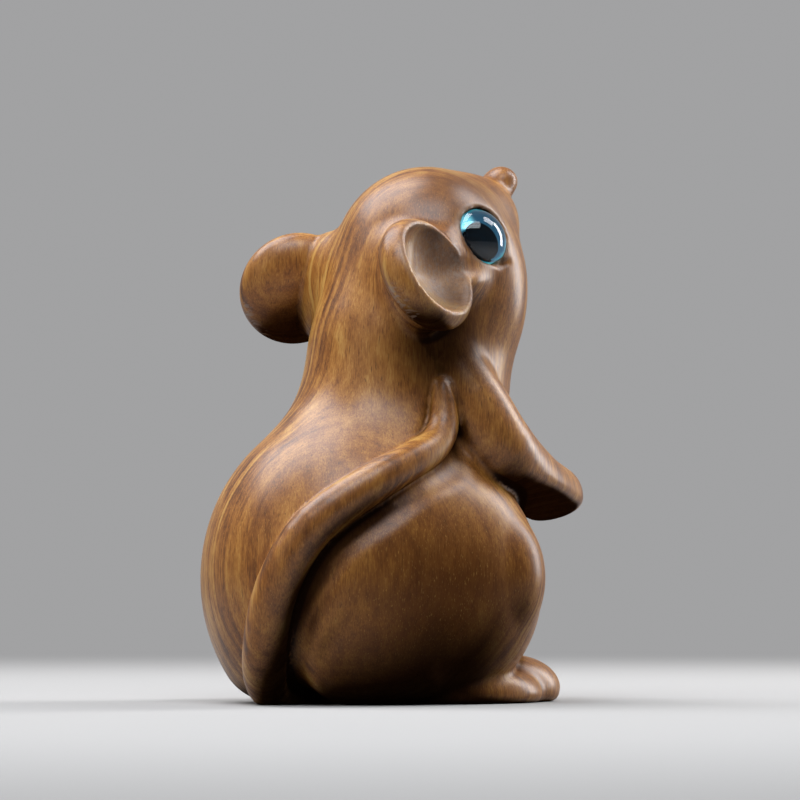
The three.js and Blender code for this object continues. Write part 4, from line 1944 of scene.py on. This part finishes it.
@dataclass
class Studio:
    """The camera at the photograph's place, the pale floor, the soft lamps and the plain backdrop."""

    behind_side: float = 36.0
    distance: float = 560.0
    camera_height: float = 16.0
    aim_height: float = 42.3
    aim_right: float = 0.7
    lens: float = 179.4
    sensor: float = 36.0
    nearest: float = 10.0
    floor_reach: float = 12000.0
    floor_drop: float = 0.02
    floor_pale: Colour = (0.4, 0.395, 0.39)
    floor_bounce: Colour = (0.08, 0.077, 0.074)
    floor_rough: float = 0.7
    fade_reach: tuple[float, float] = (120.0, 420.0)
    backdrop: Colour = (0.36, 0.36, 0.365)
    ambient: Colour = (0.06, 0.06, 0.06)
    mirror_reach: tuple[float, float] = (-0.6, 0.9)
    lamps: Sequence[Lamp] = (
        Lamp("sky_panel", (-330, -150, 680), (520, 640), 6.4, (0.97, 0.97, 1.0)),
        Lamp("side_panel", (470, -230, 230), (140, 420), 2.4, (1.0, 0.98, 0.97)),
        Lamp("high_panel", (400, -120, 590), (260, 260), 1.6, (0.98, 0.98, 1.0)),
        Lamp("front_panel", (0, 340, 620), (540, 320), 3.2, (0.88, 0.94, 1.0)),
        Lamp("left_panel", (-600, 450, 330), (500, 600), 2.0, (1.0, 0.97, 0.94), False),
    )

    def __post_init__(self) -> None:
        """Works out the camera's directions."""
        turn = math.radians(self.behind_side)
        self.towards = Vector((-math.cos(turn), math.sin(turn), 0))
        self.right = Vector((-math.sin(turn), -math.cos(turn), 0))
        self.up = Vector((0, 0, 1))

    def build(self) -> None:
        """Sets up the camera, floor, lamps and world."""
        self.make_camera()
        self.make_floor()
        for lamp in self.lamps:
            self.make_lamp(lamp)
        self.make_world()
        bpy.context.scene.view_settings.view_transform = "Standard"

    @staticmethod
    def aim(thing: bpy.types.Object, target: Vector) -> None:
        """Turns a camera or a lamp towards a point."""
        thing.rotation_euler = (target - thing.location).to_track_quat("-Z", "Y").to_euler()

    def make_camera(self) -> None:
        """Adds the camera and makes it the scene's own."""
        data = bpy.data.cameras.new("camera")
        data.lens = self.lens
        data.sensor_width = self.sensor
        data.clip_start = self.nearest * MM
        camera = add_object("camera", data)
        camera.location = self.towards * self.distance * MM + self.up * self.camera_height * MM
        self.aim(camera, self.right * self.aim_right * MM + self.up * self.aim_height * MM)
        bpy.context.scene.camera = camera

    def make_lamp(self, lamp: Lamp) -> None:
        """Adds a soft panel that points at the figure's middle.

        Args:
            lamp: The panel.
        """
        data = bpy.data.lights.new(lamp.name, "AREA")
        data.shape = "RECTANGLE"
        data.size, data.size_y = (s * MM for s in lamp.size)
        data.energy = lamp.power
        data.color = lamp.colour
        made = add_object(lamp.name, data)
        x, y, z = (d * MM for d in lamp.place)
        made.location = self.right * x + self.towards * y + self.up * z
        made.visible_glossy = lamp.mirrored
        self.aim(made, self.up * self.aim_height * MM)

    def make_floor(self) -> None:
        """Adds the pale floor, which throws little light back on the figure."""
        reach, drop = self.floor_reach * MM, self.floor_drop * MM
        mesh = bpy.data.meshes.new("floor")
        corners = [(x * reach, y * reach, -drop) for x, y in ((-1, -1), (1, -1), (1, 1), (-1, 1))]
        mesh.from_pydata(corners, [], [(0, 1, 2, 3)])
        g = ShaderGraph("pale_floor")
        fade = g.away(g.place(), ORIGIN).ease(*self.fade_reach)
        camera, glossy, through = g.rays()
        seen = (camera + glossy + through).clamp()
        paint = g.mix(seen, self.floor_bounce, g.mix(fade, self.floor_pale, BLACK))
        glow = g.mix(seen * fade, BLACK, self.backdrop)
        g.set(Base_Color=paint, Roughness=self.floor_rough, Specular_IOR_Level=0.0)
        g.set(Emission_Color=glow, Emission_Strength=1.0)
        mesh.materials.append(g.material)
        add_object("floor", mesh)

    def make_world(self) -> None:
        """Sets a plain pale backdrop and a low, even light."""
        world = bpy.data.worlds.new("studio")
        world.use_nodes = True
        bpy.context.scene.world = world
        g = Graph(world.node_tree)
        g.tree.nodes.clear()
        ahead = g.dot(g.node("ShaderNodeTexCoord", output="Generated"), -self.towards)
        camera, glossy, through = g.rays()
        share = (camera + through + glossy * ahead.ease(*self.mirror_reach)).clamp()
        colour = g.mix(share, self.ambient, self.backdrop)
        light = g.node("ShaderNodeBackground", None, {0: colour, 1: 1.0})
        g.add("ShaderNodeOutputWorld", None, {0: light})


def main() -> None:
    """Builds the carving, the eyes and the studio, and reports each piece."""
    logging.basicConfig(level=logging.INFO, format="%(name)s: %(message)s")
    carving = Carving()
    facet = carving.on_eye(*GlassEye.facet_spot)
    finishes = {
        "wood": WaxedWood().material(),
        "lens": ClearGlass().material(),
        "iris": BlueFoil(tuple(carving.eye_seat), tuple(facet)).material(),
        "pupil": BlackEnamel().material(),
        "adhesive": CuredGlue().material(),
    }
    pieces = [carving.build(finishes["wood"])]
    spun = SpunGraph("spun_profile")
    for side in Side:
        pieces += GlassEye(side).build(spun, carving.eye_frame(side), finishes)
    for piece in pieces:
        LOG.info("%s: %d faces", piece.name, len(piece.data.polygons))
    Studio().build()


if __name__ == "__main__":
    main()
